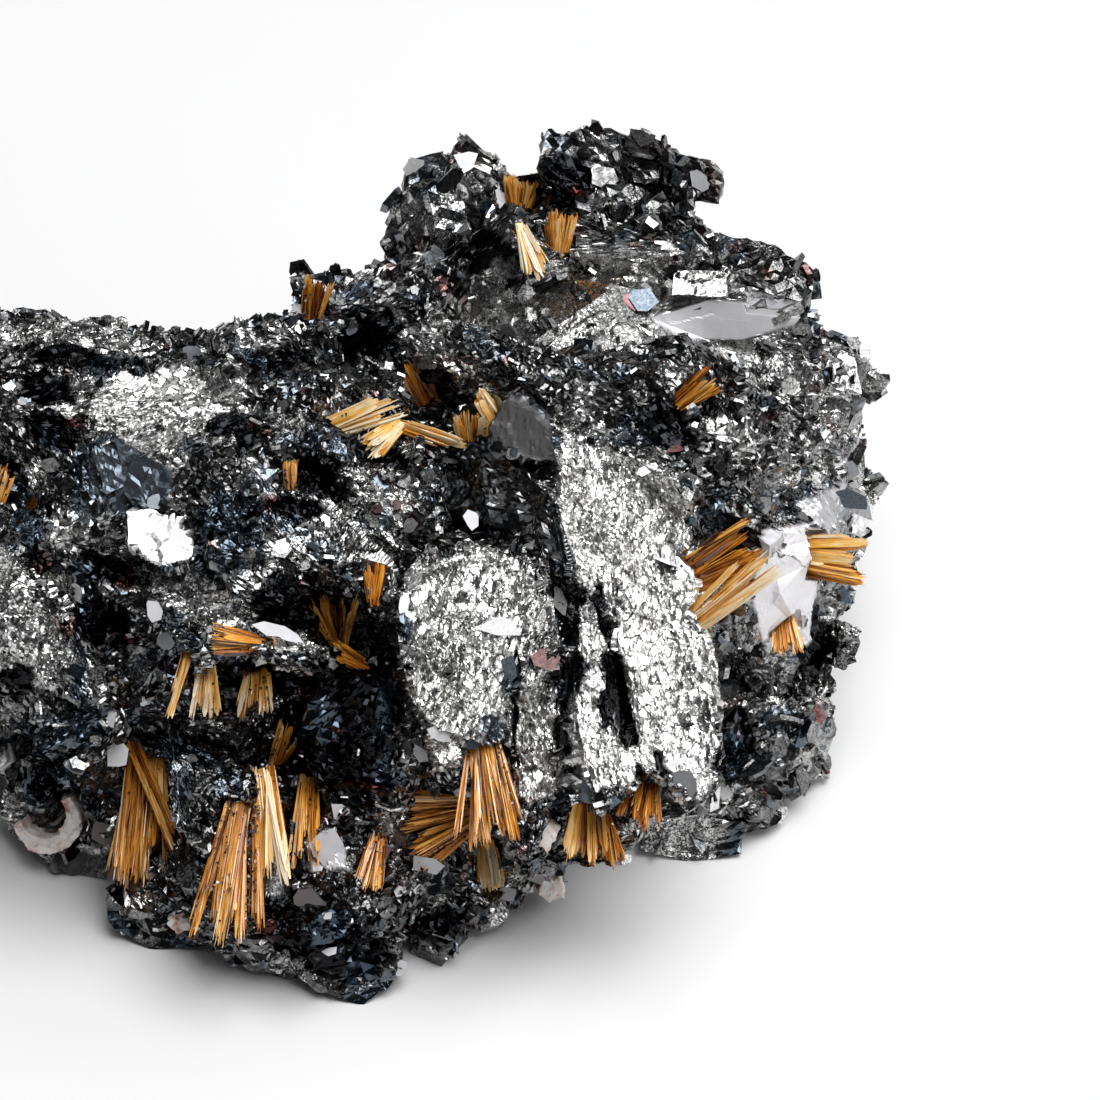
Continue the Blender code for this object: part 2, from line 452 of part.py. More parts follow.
def plate(name, place, sizes, turning, reach, collection, material=None):
    """A tabular crystal: a prism whose corners reach unevenly far, with a front a little smaller than its back."""
    bm = bmesh.new()
    corners = len(reach)
    bmesh.ops.create_cone(
        bm, cap_ends=True, segments=corners, radius1=0.5, radius2=0.5 * BEVEL_SHARE, depth=1
    )
    for vertex in bm.verts:
        angle = math.atan2(vertex.co.y, vertex.co.x) % math.tau
        factor = reach[round(angle / math.tau * corners) % corners]
        vertex.co.x *= factor
        vertex.co.y *= factor
    bmesh.ops.transform(bm, matrix=Matrix.Diagonal((*sizes, 1)), verts=bm.verts)
    bmesh.ops.transform(bm, matrix=turning.to_4x4(), verts=bm.verts)
    bmesh.ops.translate(bm, vec=place, verts=bm.verts)
    return new_object(name, bm, collection, material)


def uneven(corners, rng):
    return [1 + rng.uniform(-CORNER_JITTER, CORNER_JITTER) for _ in range(corners)]


def crust(lump_name, centre, half_sizes, collection, rng):
    """Plates spread evenly over one lump, each tilted away from its surface by a seeded angle."""
    golden = math.pi * (3 - math.sqrt(5))
    radius = sum(half_sizes) / 3
    count = round(4 * math.pi * radius * radius / CRUST_AREA)
    for i in range(count):
        height = 1 - 2 * (i + 0.5) / count
        ring = math.sqrt(1 - height * height)
        out = Vector((ring * math.cos(golden * i), ring * math.sin(golden * i), height))
        middle = FACE_CENTRE + Vector([(c + h * o * CRUST_REACH) * MM for c, h, o in zip(centre, half_sizes, out)])
        normal = Vector([o / h for o, h in zip(out, half_sizes)]).normalized()
        tilt = Euler([math.radians(rng.uniform(-CRUST_TILT, CRUST_TILT)) for _ in range(3)]).to_matrix()
        turning = tilt @ normal.to_track_quat("Z", "Y").to_matrix()
        width = rng.uniform(*CRUST_WIDTH) * radius * MM
        sizes = (width, width * rng.uniform(0.5, 1.0), rng.uniform(*CRUST_THICKNESS) * MM)
        corners = uneven(rng.randint(4, 5), rng)
        plate(f"{lump_name}_crust_{i:02d}", middle, sizes, turning, corners, collection)


def combine(obj, others, operation):
    """Joins a collection's solids to an object, or cuts them from it, and keeps the largest closed body."""
    modifier = obj.modifiers.new(operation.lower(), "BOOLEAN")
    modifier.operation = operation
    modifier.operand_type = "COLLECTION"
    modifier.collection = others
    bpy.context.view_layer.update()
    joined = bpy.data.meshes.new_from_object(obj.evaluated_get(bpy.context.evaluated_depsgraph_get()))
    obj.modifiers.clear()
    bm = bmesh.new()
    bm.from_mesh(joined)
    keep_largest_body(bm)
    bm.to_mesh(obj.data)
    bm.free()


def weld(obj):
    """Merges the corners that the Boolean cuts left almost on each other."""
    bm = bmesh.new()
    bm.from_mesh(obj.data)
    bmesh.ops.remove_doubles(bm, verts=bm.verts, dist=WELD)
    bm.to_mesh(obj.data)
    bm.free()


def keep_largest_body(bm):
    """Drops chips that touch nothing, and the walls of sealed hollows."""
    bodies = []
    left = set(bm.faces)
    while left:
        body = [left.pop()]
        for face in body:
            for edge in face.edges:
                fresh = [near for near in edge.link_faces if near in left]
                left.difference_update(fresh)
                body.extend(fresh)
        bodies.append(body)
    bodies.sort(key=len)
    for body in bodies[:-1]:
        bmesh.ops.delete(bm, geom=body, context="FACES")


def hematite_mass(collection, growth, material, rng):
    """The core's lumps, the main plates and the crust, grown together into one solid."""
    for name, (centre, half_sizes) in LUMPS.items():
        lump(name, centre, half_sizes, growth, rng)
    for name, (outline, toward, thickness, lean, swing) in SHEETS.items():
        sheet(name, outline, toward, thickness, lean, swing, growth)
    for name, (centre, half_sizes) in LUMPS.items():
        if name not in BURIED_LUMPS:
            crust(name, centre, half_sizes, growth, rng)
    for piece in growth.objects:
        make_cutter(piece)
    first = growth.objects["left_mass"]
    bm = bmesh.new()
    bm.from_mesh(first.data)
    mass = new_object("hematite_mass", bm, collection, material)
    bpy.data.objects.remove(first)
    combine(mass, growth, "UNION")
    return mass


def surface_toward(tree, across, up):
    """How far toward the viewer the hematite's surface lies, where it is seen at (across, up)."""
    start = seen(across, up, 100)
    hit = tree.ray_cast(start, (seen(across, up, 0) - start).normalized())[0]
    return (hit - FACE_CENTRE).dot(TOWARD) / MM


def sheaf_outline(length, root_width, tip_width, rng):
    """A wedge that ends in a comb of needle tips, drawn from its root along Y."""
    outline = [(-root_width / 2, 0), (root_width / 2, 0)]
    for i in range(PRONGS):
        right = tip_width * (0.5 - i / PRONGS)
        middle = right - tip_width / PRONGS / 2
        outline.append((middle + tip_width / PRONGS * 0.4, length * (1 - rng.uniform(0, 0.1))))
        outline.append((middle - tip_width / PRONGS * 0.4, length * (1 - rng.uniform(0, 0.1))))
        if i < PRONGS - 1:
            notch = length - rng.uniform(*PRONG_DEPTH) * length
            outline.append((right - tip_width / PRONGS, notch))
    return outline


def sheaf(name, root, tip, root_width, tip_width, thickness, roll, collection, cutters, material, rng):
    """A flat sheaf of needles from root to tip, and the pocket that holds its root in the hematite."""
    along = (tip - root).normalized()
    length = (tip - root).length
    side = along.cross(TOWARD).normalized()
    turning = Matrix((side, along, side.cross(along))).transposed()
    turning = turning @ Matrix.Rotation(math.radians(roll), 3, "Y")
    placing = Matrix.Translation(root) @ turning.to_4x4()
    outline = sheaf_outline(length, root_width * MM, tip_width * MM, rng)
    piece = slab(name, outline, thickness * MM, placing, collection, material)
    low, high = -GAP, length + GAP
    half_root, half_tip = root_width * MM / 2 + GAP, tip_width * MM / 2 + GAP
    wedge = [(-half_root, low), (half_root, low), (half_tip, high), (-half_tip, high)]
    make_cutter(slab(name + "_pocket", wedge, thickness * MM + 2 * GAP, placing, cutters))
    return piece


def grow_sheaves(mass, collection, cutters, material, rng):
    tree = BVHTree.FromObject(mass, bpy.context.evaluated_depsgraph_get())
    for name, (root, tip, sink, rise, *sizes) in SHEAVES.items():
        ground = surface_toward(tree, *root)
        places = seen(*root, ground - sink), seen(*tip, ground + rise)
        sheaf("rutile_" + name, *places, *sizes, collection, cutters, material, rng)
    for name, (bearing, height, length, hang, *sizes) in HIDDEN_SHEAVES.items():
        out = Vector((math.cos(math.radians(bearing)), math.sin(math.radians(bearing)), 0))
        start = Vector((0, 0, height * MM)) + out
        root = tree.ray_cast(start, -out)[0] - out * MM
        slope = math.radians(hang)
        tip = root + length * MM * (math.cos(slope) * out - math.sin(slope) * Vector((0, 0, 1)))
        sheaf("rutile_" + name, root, tip, *sizes, collection, cutters, material, rng)


def grow_feldspars(mass, collection, cutters, material, rng):
    tree = BVHTree.FromObject(mass, bpy.context.evaluated_depsgraph_get())
    for name, (spot, sink, sizes, angles, corners) in FELDSPARS.items():
        place = seen(*spot, surface_toward(tree, *spot) - sink)
        reach = uneven(corners, rng)
        plate(name, place, [size * MM for size in sizes], facing(*angles), reach, collection, material)
        wider = [size * MM + 2 * GAP for size in sizes]
        make_cutter(plate(name + "_pocket", place, wider, facing(*angles), reach, cutters))


def arc(radius, start, end, lift=0):
    """Points along an arc from one angle to another, in degrees, about a centre lifted along Y."""
    turns = [math.radians(start + (end - start) * i / CRESCENT_STEPS) for i in range(CRESCENT_STEPS + 1)]
    return [(radius * math.cos(turn), radius * math.sin(turn) + lift) for turn in turns]


def grow_crescent(mass, collection, cutters, material):
    """A curved rim of feldspar, open toward the upper left, around a nub of hematite."""
    tree = BVHTree.FromObject(mass, bpy.context.evaluated_depsgraph_get())
    place = seen(*CRESCENT_SPOT, surface_toward(tree, *CRESCENT_SPOT) - CRESCENT_SINK)
    placing = Matrix.Translation(place) @ facing(*CRESCENT_ANGLES).to_4x4()
    outer, inner = (radius * MM for radius in CRESCENT_RADII)
    start, end = CRESCENT_OPENING[0], CRESCENT_OPENING[1] - 360
    lift = CRESCENT_SHIFT * MM
    outline = arc(outer, start, end) + arc(inner, end, start, lift)
    slab("feldspar_crescent", outline, CRESCENT_THICKNESS * MM, placing, collection, material)
    wider = arc(outer + GAP, start + 12, end - 12) + arc(inner - GAP, end - 16, start + 16, lift)
    thickness = CRESCENT_THICKNESS * MM + 2 * GAP
    make_cutter(slab("feldspar_crescent_pocket", wider, thickness, placing, cutters))


def resting_cut(cutters):
    """A block whose top is the flat cut that the specimen rests on."""
    bm = bmesh.new()
    bmesh.ops.create_cube(bm, size=0.1)
    bmesh.ops.translate(bm, vec=(0, 0, -0.05), verts=bm.verts)
    make_cutter(new_object("resting_cut", bm, cutters))


def main():
    clear_scene()
    rng = random.Random(SEED)
    collection = bpy.data.collections.new("rutile_on_hematite")
    growth = bpy.data.collections.new("hematite_growth")
    cutters = bpy.data.collections.new("pockets")
    for group in (collection, growth, cutters):
        bpy.context.scene.collection.children.link(group)
    materials = {name: make_material(name, *finish) for name, finish in FINISHES.items()}
    mass = hematite_mass(collection, growth, materials["hematite"], rng)
    grow_sheaves(mass, collection, cutters, materials["rutile"], rng)
    grow_feldspars(mass, collection, cutters, materials["feldspar"], rng)
    grow_crescent(mass, collection, cutters, materials["feldspar"])
    resting_cut(cutters)
    combine(mass, cutters, "DIFFERENCE")
    weld(mass)


main()
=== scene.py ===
"""Rutile on hematite: the finish of every surface, the needles of the sheaves and the studio.

Everything is in metres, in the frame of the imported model: +Z is up, -Y is the specimen's best side and the
origin is at the centre of the footprint. Places on the best side are given as they are seen along the line
of sight: across to the right and up, in millimetres from the middle of the face, at 20 pixels of the
1100 pixel image to the millimetre.
"""

import math

import bpy
import numpy as np
from mathutils import Matrix, Vector


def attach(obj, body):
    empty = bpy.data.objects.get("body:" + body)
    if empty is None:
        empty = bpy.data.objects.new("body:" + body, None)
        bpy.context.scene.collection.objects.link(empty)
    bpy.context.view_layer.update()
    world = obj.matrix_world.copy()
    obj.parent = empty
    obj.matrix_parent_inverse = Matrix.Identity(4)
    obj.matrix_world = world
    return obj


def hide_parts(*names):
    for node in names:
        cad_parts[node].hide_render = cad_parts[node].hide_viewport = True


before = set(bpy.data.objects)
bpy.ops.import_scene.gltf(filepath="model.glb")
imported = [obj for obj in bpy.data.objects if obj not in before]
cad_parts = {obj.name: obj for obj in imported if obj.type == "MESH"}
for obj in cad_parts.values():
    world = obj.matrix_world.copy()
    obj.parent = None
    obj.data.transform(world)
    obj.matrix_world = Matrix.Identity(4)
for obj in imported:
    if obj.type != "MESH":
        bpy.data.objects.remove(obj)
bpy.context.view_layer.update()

MM = 0.001

# The line of sight to the best side.
SIGHT_ELEVATION = math.radians(40)
SIGHT_DISTANCE = 330 * MM
FACE_CENTRE = np.array((9.8, -9.85, 19.35)) * MM
FIELD_WIDTH = 55 * MM
SENSOR_WIDTH = 36
RIGHT = np.array((1.0, 0.0, 0.0))
UPWARD = np.array((0.0, math.sin(SIGHT_ELEVATION), math.cos(SIGHT_ELEVATION)))
TOWARD = np.array((0.0, -math.cos(SIGHT_ELEVATION), math.sin(SIGHT_ELEVATION)))
SIGHT_BASIS = np.array((RIGHT, UPWARD, TOWARD))

PIECE_LIMIT = 190000  # triangles
BACKING_DEPTH = 0.5 * MM  # how far under the crust each piece of it is closed

SEED = 11
RANDOMS = np.random.default_rng(SEED).uniform(-1, 1, (8192, 7))


# Meshes as arrays


def length_of(vectors):
    return np.linalg.norm(vectors, axis=-1, keepdims=True)


def unit(vectors):
    return vectors / np.maximum(length_of(vectors), 1e-12)


def merged_node(name):
    """A CAD node's corners and triangles, with the corners that coincide to a micron made one."""
    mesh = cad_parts[name].data
    mesh.calc_loop_triangles()
    corners = np.empty(len(mesh.vertices) * 3)
    mesh.vertices.foreach_get("co", corners)
    triangles = np.empty(len(mesh.loop_triangles) * 3, int)
    mesh.loop_triangles.foreach_get("vertices", triangles)
    keys = np.round(corners.reshape(-1, 3) * 1e6).astype(np.int64)
    unique, inverse = np.unique(keys, axis=0, return_inverse=True)
    triangles = inverse.reshape(-1)[triangles].reshape(-1, 3)
    whole = (triangles != np.roll(triangles, 1, axis=1)).all(axis=1)
    return unique * 1e-6, triangles[whole]


def edges_of(points, triangles):
    """A number for each side of each triangle, both ends of each numbered edge, and how often it occurs."""
    edges = np.sort(triangles[:, [[0, 1], [1, 2], [2, 0]]].reshape(-1, 2), axis=1)
    keys, inverse, count = np.unique(edges @ (len(points), 1), return_inverse=True, return_counts=True)
    return inverse.reshape(-1), keys // len(points), keys % len(points), count


def refine(points, triangles, longest, rim_only=False):
    """Halves every edge that is longer than longest(middle of the edge), in nine rounds at the most.

    A triangle with one halved edge becomes two, with two becomes three and with three becomes four, so the
    mesh stays closed. Also returns which of the first triangles each one comes from.
    """
    source = np.arange(len(triangles))
    for _ in range(9):
        inverse, first, second, count = edges_of(points, triangles)
        middles = (points[first] + points[second]) / 2
        halved = length_of(points[first] - points[second])[:, 0] > longest(middles)
        if rim_only:
            halved &= count == 1
        if not halved.any():
            break
        number = np.full(len(first), -1)
        number[halved] = len(points) + np.arange(halved.sum())
        points = np.vstack((points, middles[halved]))
        triangles, source = split_triangles(triangles, number[inverse].reshape(-1, 3), source)
    return points, triangles, source


def split_triangles(triangles, marks, source):
    """Cuts triangles at the marked middles of their edges; a mark below 0 means that the edge stays whole."""
    count = (marks >= 0).sum(axis=1)
    parts = [triangles[count == 0]]
    sources = [source[count == 0]]
    for wanted in (1, 2, 3):
        chosen = count == wanted
        corners, middles = triangles[chosen], marks[chosen]
        # turned so that the only halved edge comes first, or the only whole one last
        lead = middles.argmax(axis=1) if wanted == 1 else (middles.argmin(axis=1) + 1) % 3
        turn = (lead[:, None] + np.arange(3)) % 3
        a, b, c = np.take_along_axis(corners, turn, axis=1).T
        ab, bc, ca = np.take_along_axis(middles, turn, axis=1).T
        if wanted == 1:
            groups = ((a, ab, c), (ab, b, c))
        elif wanted == 2:
            groups = ((ab, b, bc), (a, ab, bc), (a, bc, c))
        else:
            groups = ((a, ab, ca), (ab, b, bc), (ca, bc, c), (ab, bc, ca))
        parts += [np.stack(group, axis=1) for group in groups]
        sources += [source[chosen]] * len(groups)
    return np.vstack(parts), np.concatenate(sources)


def corner_normals(points, triangles):
    """The mean of the normals of the triangles round each point, weighted by their areas."""
    a, b, c = (points[triangles[:, i]] for i in range(3))
    faces = np.cross(b - a, c - a)
    normals = np.empty_like(points)
    for axis in range(3):
        weights = np.repeat(faces[:, axis], 3)
        normals[:, axis] = np.bincount(triangles.reshape(-1), weights, minlength=len(points))
    return unit(normals)


def make_piece(name, points, polygons, material, slot, replaced=(), attributes=None):
    """Puts arrays into a mesh object that rides on the body, with named values at its points."""
    mesh = bpy.data.meshes.new(name)
    mesh.vertices.add(len(points))
    mesh.vertices.foreach_set("co", np.asarray(points, np.float32).reshape(-1))
    sides = polygons.shape[1]
    mesh.loops.add(polygons.size)
    mesh.loops.foreach_set("vertex_index", polygons.reshape(-1).astype(np.int32))
    mesh.polygons.add(len(polygons))
    mesh.polygons.foreach_set("loop_start", np.arange(0, polygons.size, sides, dtype=np.int32))
    for key, values in (attributes or {}).items():
        values = np.asarray(values, np.float32)
        kind, field = ("FLOAT", "value") if values.ndim == 1 else ("FLOAT_VECTOR", "vector")
        mesh.attributes.new(key, kind, "POINT").data.foreach_set(field, values.reshape(-1))
    mesh.update(calc_edges=True)
    mesh.shade_flat()
    mesh.materials.append(material)
    piece = bpy.data.objects.new(name, mesh)
    bpy.context.scene.collection.objects.link(piece)
    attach(piece, "root")
    if replaced:
        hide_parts(*replaced)
    return piece


def walls_between(low, high):
    """Four-sided faces between rings of point numbers and the rings above them."""
    ring = (low, np.roll(low, -1, axis=-1), np.roll(high, -1, axis=-1), high)
    return np.stack(ring, axis=-1).reshape(-1, 4)


def chunks_of(middles, weights):
    """Groups of triangles, halved across their longest side until none weighs more than a piece may."""
    groups = [np.arange(len(middles))]
    while max(weights[group].sum() for group in groups) > PIECE_LIMIT:
        heaviest = groups.pop(int(np.argmax([weights[group].sum() for group in groups])))
        places = middles[heaviest]
        order = heaviest[np.argsort(places[:, np.ptp(places, axis=0).argmax()])]
        cut = np.searchsorted(np.cumsum(weights[order]), weights[order].sum() / 2)
        groups += [order[:cut], order[cut:]]
    return groups


def make_parts(name, coarse, fine, raised, longest, attributes, **looks):
    """Makes a refined and raised skin into closed chunks, each backed by the coarse mesh a little way in."""
    coarse_points, coarse_triangles = coarse
    points, triangles, source = fine
    inward = corner_normals(points, triangles) * BACKING_DEPTH
    keys = np.round(points * 1e9).astype(np.int64)
    middles = coarse_points[coarse_triangles].mean(axis=1)
    weights = np.bincount(source, minlength=len(coarse_triangles))
    for number, group in enumerate(chunks_of(middles, weights), 1):
        front = triangles[np.isin(source, group)]
        back_points, back, _ = refine(coarse_points, coarse_triangles[group], longest, rim_only=True)
        used, back = np.unique(back, return_inverse=True)
        back = back.reshape(-1, 3)
        both = np.vstack((keys, np.round(back_points[used] * 1e9).astype(np.int64)))
        _, first, inverse = np.unique(both, axis=0, return_index=True, return_inverse=True)
        twin = first[inverse.reshape(-1)[len(keys):]]
        _, ends, other, count = edges_of(points, front)
        rim = np.zeros(len(points), bool)
        rim[ends[count == 1]] = rim[other[count == 1]] = True
        place = np.full(len(points), -1)
        place[twin] = len(points) + np.arange(len(used))
        sides = front[:, [[0, 1], [1, 2], [2, 0]]].reshape(-1, 2)
        side_number, _, _, count = edges_of(points, front)
        sides = sides[count[side_number] == 1]
        inner = place[sides]
        walls = (
            np.column_stack((sides[:, 1], sides[:, 0], inner[:, 0])),
            np.column_stack((sides[:, 1], inner[:, 0], inner[:, 1])),
        )
        faces = np.vstack((front, *walls, back[:, ::-1] + len(points)))
        whole = np.vstack((raised, back_points[used] - inward[twin]))
        whole[:, 2] = np.maximum(whole[:, 2], 0)
        kept, faces = np.unique(faces, return_inverse=True)
        values = {key: np.concatenate((v, v[twin]))[kept] for key, v in attributes.items()}
        make_piece(f"{name}_{number}", whole[kept], faces.reshape(-1, 3), attributes=values, **looks)


# Patterns in space


def cell_numbers(cells, salt):
    """The row of RANDOMS that belongs to each whole-number cell."""
    mixed = cells[:, 0] * 73856093 ^ cells[:, 1] * 19349663 ^ cells[:, 2] * 83492791 ^ salt * 9973
    return (mixed ^ mixed >> 13) & (len(RANDOMS) - 1)


def facets(points, size, slope, step, salt):
    """Heights of a crust of flat crystal faces: each cell is a plane with its own slope and its own step.

    A point belongs to the nearest of the eight cell centres round it, which are jittered off a cubic grid.
    """
    scaled = points / size
    base = np.floor(scaled - 0.5).astype(np.int64)
    nearest = np.full(len(points), 1e9)
    height = np.zeros(len(points))
    for corner in np.ndindex(2, 2, 2):
        cell = base + np.array(corner)
        numbers = RANDOMS[cell_numbers(cell, salt)]
        apart = scaled - cell - 0.5 - 0.42 * numbers[:, :3]
        distance = (apart * apart).sum(axis=1)
        level = slope * size * (apart * numbers[:, 3:6]).sum(axis=1) + step * numbers[:, 6]
        height = np.where(distance < nearest, level, height)
        nearest = np.minimum(distance, nearest)
    return height


def smooth_noise(points, size, salt):
    """Even noise from -1 to 1: random values on a grid, blended with the cubic step."""
    scaled = points / size
    base = np.floor(scaled).astype(np.int64)
    part = scaled - base
    blend = part * part * (3 - 2 * part)
    total = np.zeros(len(points))
    for corner in np.ndindex(2, 2, 2):
        weight = np.where(np.array(corner) == 1, blend, 1 - blend).prod(axis=1)
        total += weight * RANDOMS[cell_numbers(base + np.array(corner), salt), 0]
    return total


def seen_place(points):
    """Where points are seen, across and up, and how far toward the viewer they lie, all in mm."""
    across, up, toward = ((points - FACE_CENTRE) @ SIGHT_BASIS.T).T / MM
    shrink = 1 - toward * MM / SIGHT_DISTANCE
    return across / shrink, up / shrink, toward


def smooth_step(values, low, high):
    """0 below low, 1 above high, and the cubic step between them."""
    part = np.clip((values - low) / (high - low), 0, 1)
    return part * part * (3 - 2 * part)


def inside(across, up, outline):
    """How far a seen place lies inside an outline, in mm: below 0 outside it."""
    distance = np.full(len(across), 1e9)
    odd = np.zeros(len(across), bool)
    for (x0, y0), (x1, y1) in zip(outline, outline[1:] + outline[:1]):
        dx, dy = x1 - x0, y1 - y0
        share = np.clip(((across - x0) * dx + (up - y0) * dy) / (dx * dx + dy * dy), 0, 1)
        distance = np.minimum(distance, np.hypot(across - x0 - share * dx, up - y0 - share * dy))
        if dy:
            odd ^= ((up < y0) != (up < y1)) & (across < x0 + (up - y0) * dx / dy)
    return np.where(odd, distance, -distance)


def in_ellipse(across, up, ellipse):
    """1 in the middle of a seen ellipse and 0 outside it: its centre, two half-sizes and turn in degrees."""
    x, y, long, short, turn = ellipse
    c, s = math.cos(math.radians(turn)), math.sin(math.radians(turn))
    run = ((across - x) * c + (up - y) * s) / long
    rise = ((up - y) * c - (across - x) * s) / short
    return 1 - smooth_step(np.hypot(run, rise), 0.65, 1.15)


# Materials


class Value:
    """A node's output, on which sums, differences and products add Math nodes."""

    def __init__(self, tree, socket):
        self.tree = tree
        self.socket = socket

    def math(self, operation, *values):
        node = self.tree.nodes.new("ShaderNodeMath")
        node.operation = operation
        for socket, value in zip(node.inputs, values):
            plug(self.tree, socket, value)
        return Value(self.tree, node.outputs[0])

    def __add__(self, other):
        return self.math("ADD", self, other)

    def __sub__(self, other):
        return self.math("SUBTRACT", self, other)

    def __rsub__(self, other):
        return self.math("SUBTRACT", other, self)

    def __mul__(self, other):
        return self.math("MULTIPLY", self, other)

    __radd__ = __add__
    __rmul__ = __mul__

    def clamped(self):
        return self.math("MINIMUM", self.math("MAXIMUM", self, 0), 1)


def plug(tree, socket, value):
    """Links a varying value to a socket, or sets a constant on the socket itself."""
    if isinstance(value, Value):
        tree.links.new(value.socket, socket)
    else:
        socket.default_value = value


class Finish:
    """A Principled material whose varying inputs are written as expressions."""

    def __init__(self, name, **constants):
        self.material = bpy.data.materials.new(name)
        self.material.use_nodes = True
        self.tree = self.material.node_tree
        self.shader = self.tree.nodes["Principled BSDF"]
        self.set(**constants)

    def set(self, **values):
        for name, value in values.items():
            plug(self.tree, self.shader.inputs[name.replace("_", " ")], value)

    def node(self, kind, output=0, settings=None, **values):
        """A node of any type: its settings first, then the values or links of its sockets by name."""
        node = self.tree.nodes.new("ShaderNode" + kind)
        for key, value in (settings or {}).items():
            setattr(node, key, value)
        for key, value in values.items():
            plug(self.tree, node.inputs[key.replace("_", " ")], value)
        return Value(self.tree, node.outputs[output])

    def ramp(self, factor, *stops):
        """A colour ramp; each stop is a position and a colour."""
        ramp = self.node("ValToRGB", Fac=factor)
        elements = ramp.socket.node.color_ramp.elements
        while len(elements) < len(stops):
            elements.new(0.5)
        for element, (position, colour) in zip(elements, stops):
            element.position = position
            element.color = (*colour, 1)
        return ramp

    def mix(self, factor, first, second):
        node = self.tree.nodes.new("ShaderNodeMix")
        node.data_type = "RGBA"
        for index, value in ((0, factor), (6, first), (7, second)):
            if isinstance(value, tuple) and len(value) == 3:
                value = (*value, 1)
            plug(self.tree, node.inputs[index], value)
        return Value(self.tree, node.outputs[2])

    def vector(self, operation, first, second):
        node = self.tree.nodes.new("ShaderNodeVectorMath")
        node.operation = operation
        plug(self.tree, node.inputs[0], first)
        plug(self.tree, node.inputs[1], second)
        return Value(self.tree, node.outputs[0])

    def scaled(self, vector, factor):
        node = self.tree.nodes.new("ShaderNodeVectorMath")
        node.operation = "SCALE"
        plug(self.tree, node.inputs[0], vector)
        plug(self.tree, node.inputs["Scale"], factor)
        return Value(self.tree, node.outputs[0])

    def place(self):
        return self.node("TexCoord", output=3)

    def attribute(self, name, output=2):
        return self.node("Attribute", output=output, settings={"attribute_name": name})

    def cells(self, size, place):
        """A colour that is constant over each crystal face of about `size` metres."""
        return self.node("TexVoronoi", output=1, Vector=place, Scale=1 / size)

    def cloud(self, size, detail=2.0, place=None):
        return self.node("TexNoise", Vector=place or self.place(), Scale=1 / size, Detail=detail)


def hematite_finish():
    """Black metallic crystal, silvery where `shine` is high; `grain` is how rough with tiny faces it is.

    The tiny faces are cells that each turn the surface's normal their own way, at two sizes, and thin creases
    of painted shade run between them. They follow `weave`, in which silver faces are squeezed along their
    wrinkles.
    Faces with `matte` show a painted tone instead of a reflection: light where `shine` is high, as a painted
    reflection of the white board, and dark where it is low.
    """
    finish = Finish("hematite")
    shine = finish.attribute("shine")
    grain = finish.attribute("grain")
    matte = finish.attribute("matte")
    weave = finish.attribute("weave", output=1)
    fine = finish.vector("SUBTRACT", finish.cells(0.08 * MM, place=weave), (0.5, 0.5, 0.5))
    coarse = finish.vector("SUBTRACT", finish.cells(0.22 * MM, place=weave), (0.5, 0.5, 0.5))
    bent = finish.vector("ADD", finish.node("NewGeometry", output=1), finish.scaled(fine, grain * 0.45))
    bent = finish.vector("ADD", bent, finish.scaled(coarse, grain * 0.2))
    finish.set(Normal=finish.vector("NORMALIZE", bent, (0, 0, 0)))
    mottle = finish.cloud(0.6 * MM, 3.0)
    pits = finish.cloud(0.14 * MM, 2.0)
    # Painted shade: thin dark lines along the weave, where shade would fall between the tiny faces.
    painted_crease_shade = finish.cloud(0.36 * MM, 3.0, place=weave) - 0.5
    painted_crease_shade = (1.1 - 22 * painted_crease_shade.math("ABSOLUTE", painted_crease_shade)).clamped() * (1 - matte)
    level = (0.50 * mottle - 0.11 + shine * (0.55 + 0.5 * mottle)).clamped() * (1 - 0.8 * painted_crease_shade)
    colour = finish.mix(level, (0.012, 0.0125, 0.014), (0.93, 0.925, 0.91))
    colour = finish.mix(finish.attribute("blue"), colour, (0.09, 0.12, 0.155))
    colour = finish.mix(finish.attribute("rust"), colour, (0.13, 0.03, 0.025))
    # Painted reflection: matte faces show a tone that stands in for what they reflect, light on silvery faces
    # and dark on dull ones.
    painted_reflection = finish.mix(shine, (0.02, 0.02, 0.02), (0.93, 0.92, 0.96))
    painted_reflection = finish.mix(finish.attribute("blue"), painted_reflection, (0.12, 0.145, 0.17))
    colour = finish.mix(matte, colour, painted_reflection)
    roughness = (0.04 + 0.28 * pits + 0.12 * shine + 0.2 * matte).clamped()
    finish.set(Base_Color=colour, Roughness=roughness, Metallic=(1 - 0.85 * matte).clamped())
    return finish.material


def rutile_finish():
    """Golden fibres, deep orange-brown to pale straw by `tone`, with fine streaks along them that are partly
    their own tone and partly painted highlights.

    `fibre` is each point's place in its needle's own frame: round the needle, through it and along it.
    """
    finish = Finish("rutile", Roughness=0.25, IOR=2.4, Specular_IOR_Level=0.2)
    fibre = finish.attribute("fibre", output=1)
    # Streaks along the fibres: partly the fibres' own tone, partly painted pale highlights.
    streak_and_highlight = finish.cloud(1.0, 2.0, place=fibre)
    colour = finish.ramp(
        (finish.attribute("tone") + 0.9 * streak_and_highlight - 0.41).clamped(),
        (0.0, (0.012, 0.004, 0.002)),
        (0.2, (0.15, 0.032, 0.004)),
        (0.42, (0.56, 0.19, 0.016)),
        (0.62, (0.86, 0.39, 0.045)),
        (0.8, (0.96, 0.62, 0.20)),
        (1.0, (0.97, 0.85, 0.64)),
    )
    finish.set(Base_Color=colour)
    return finish.material


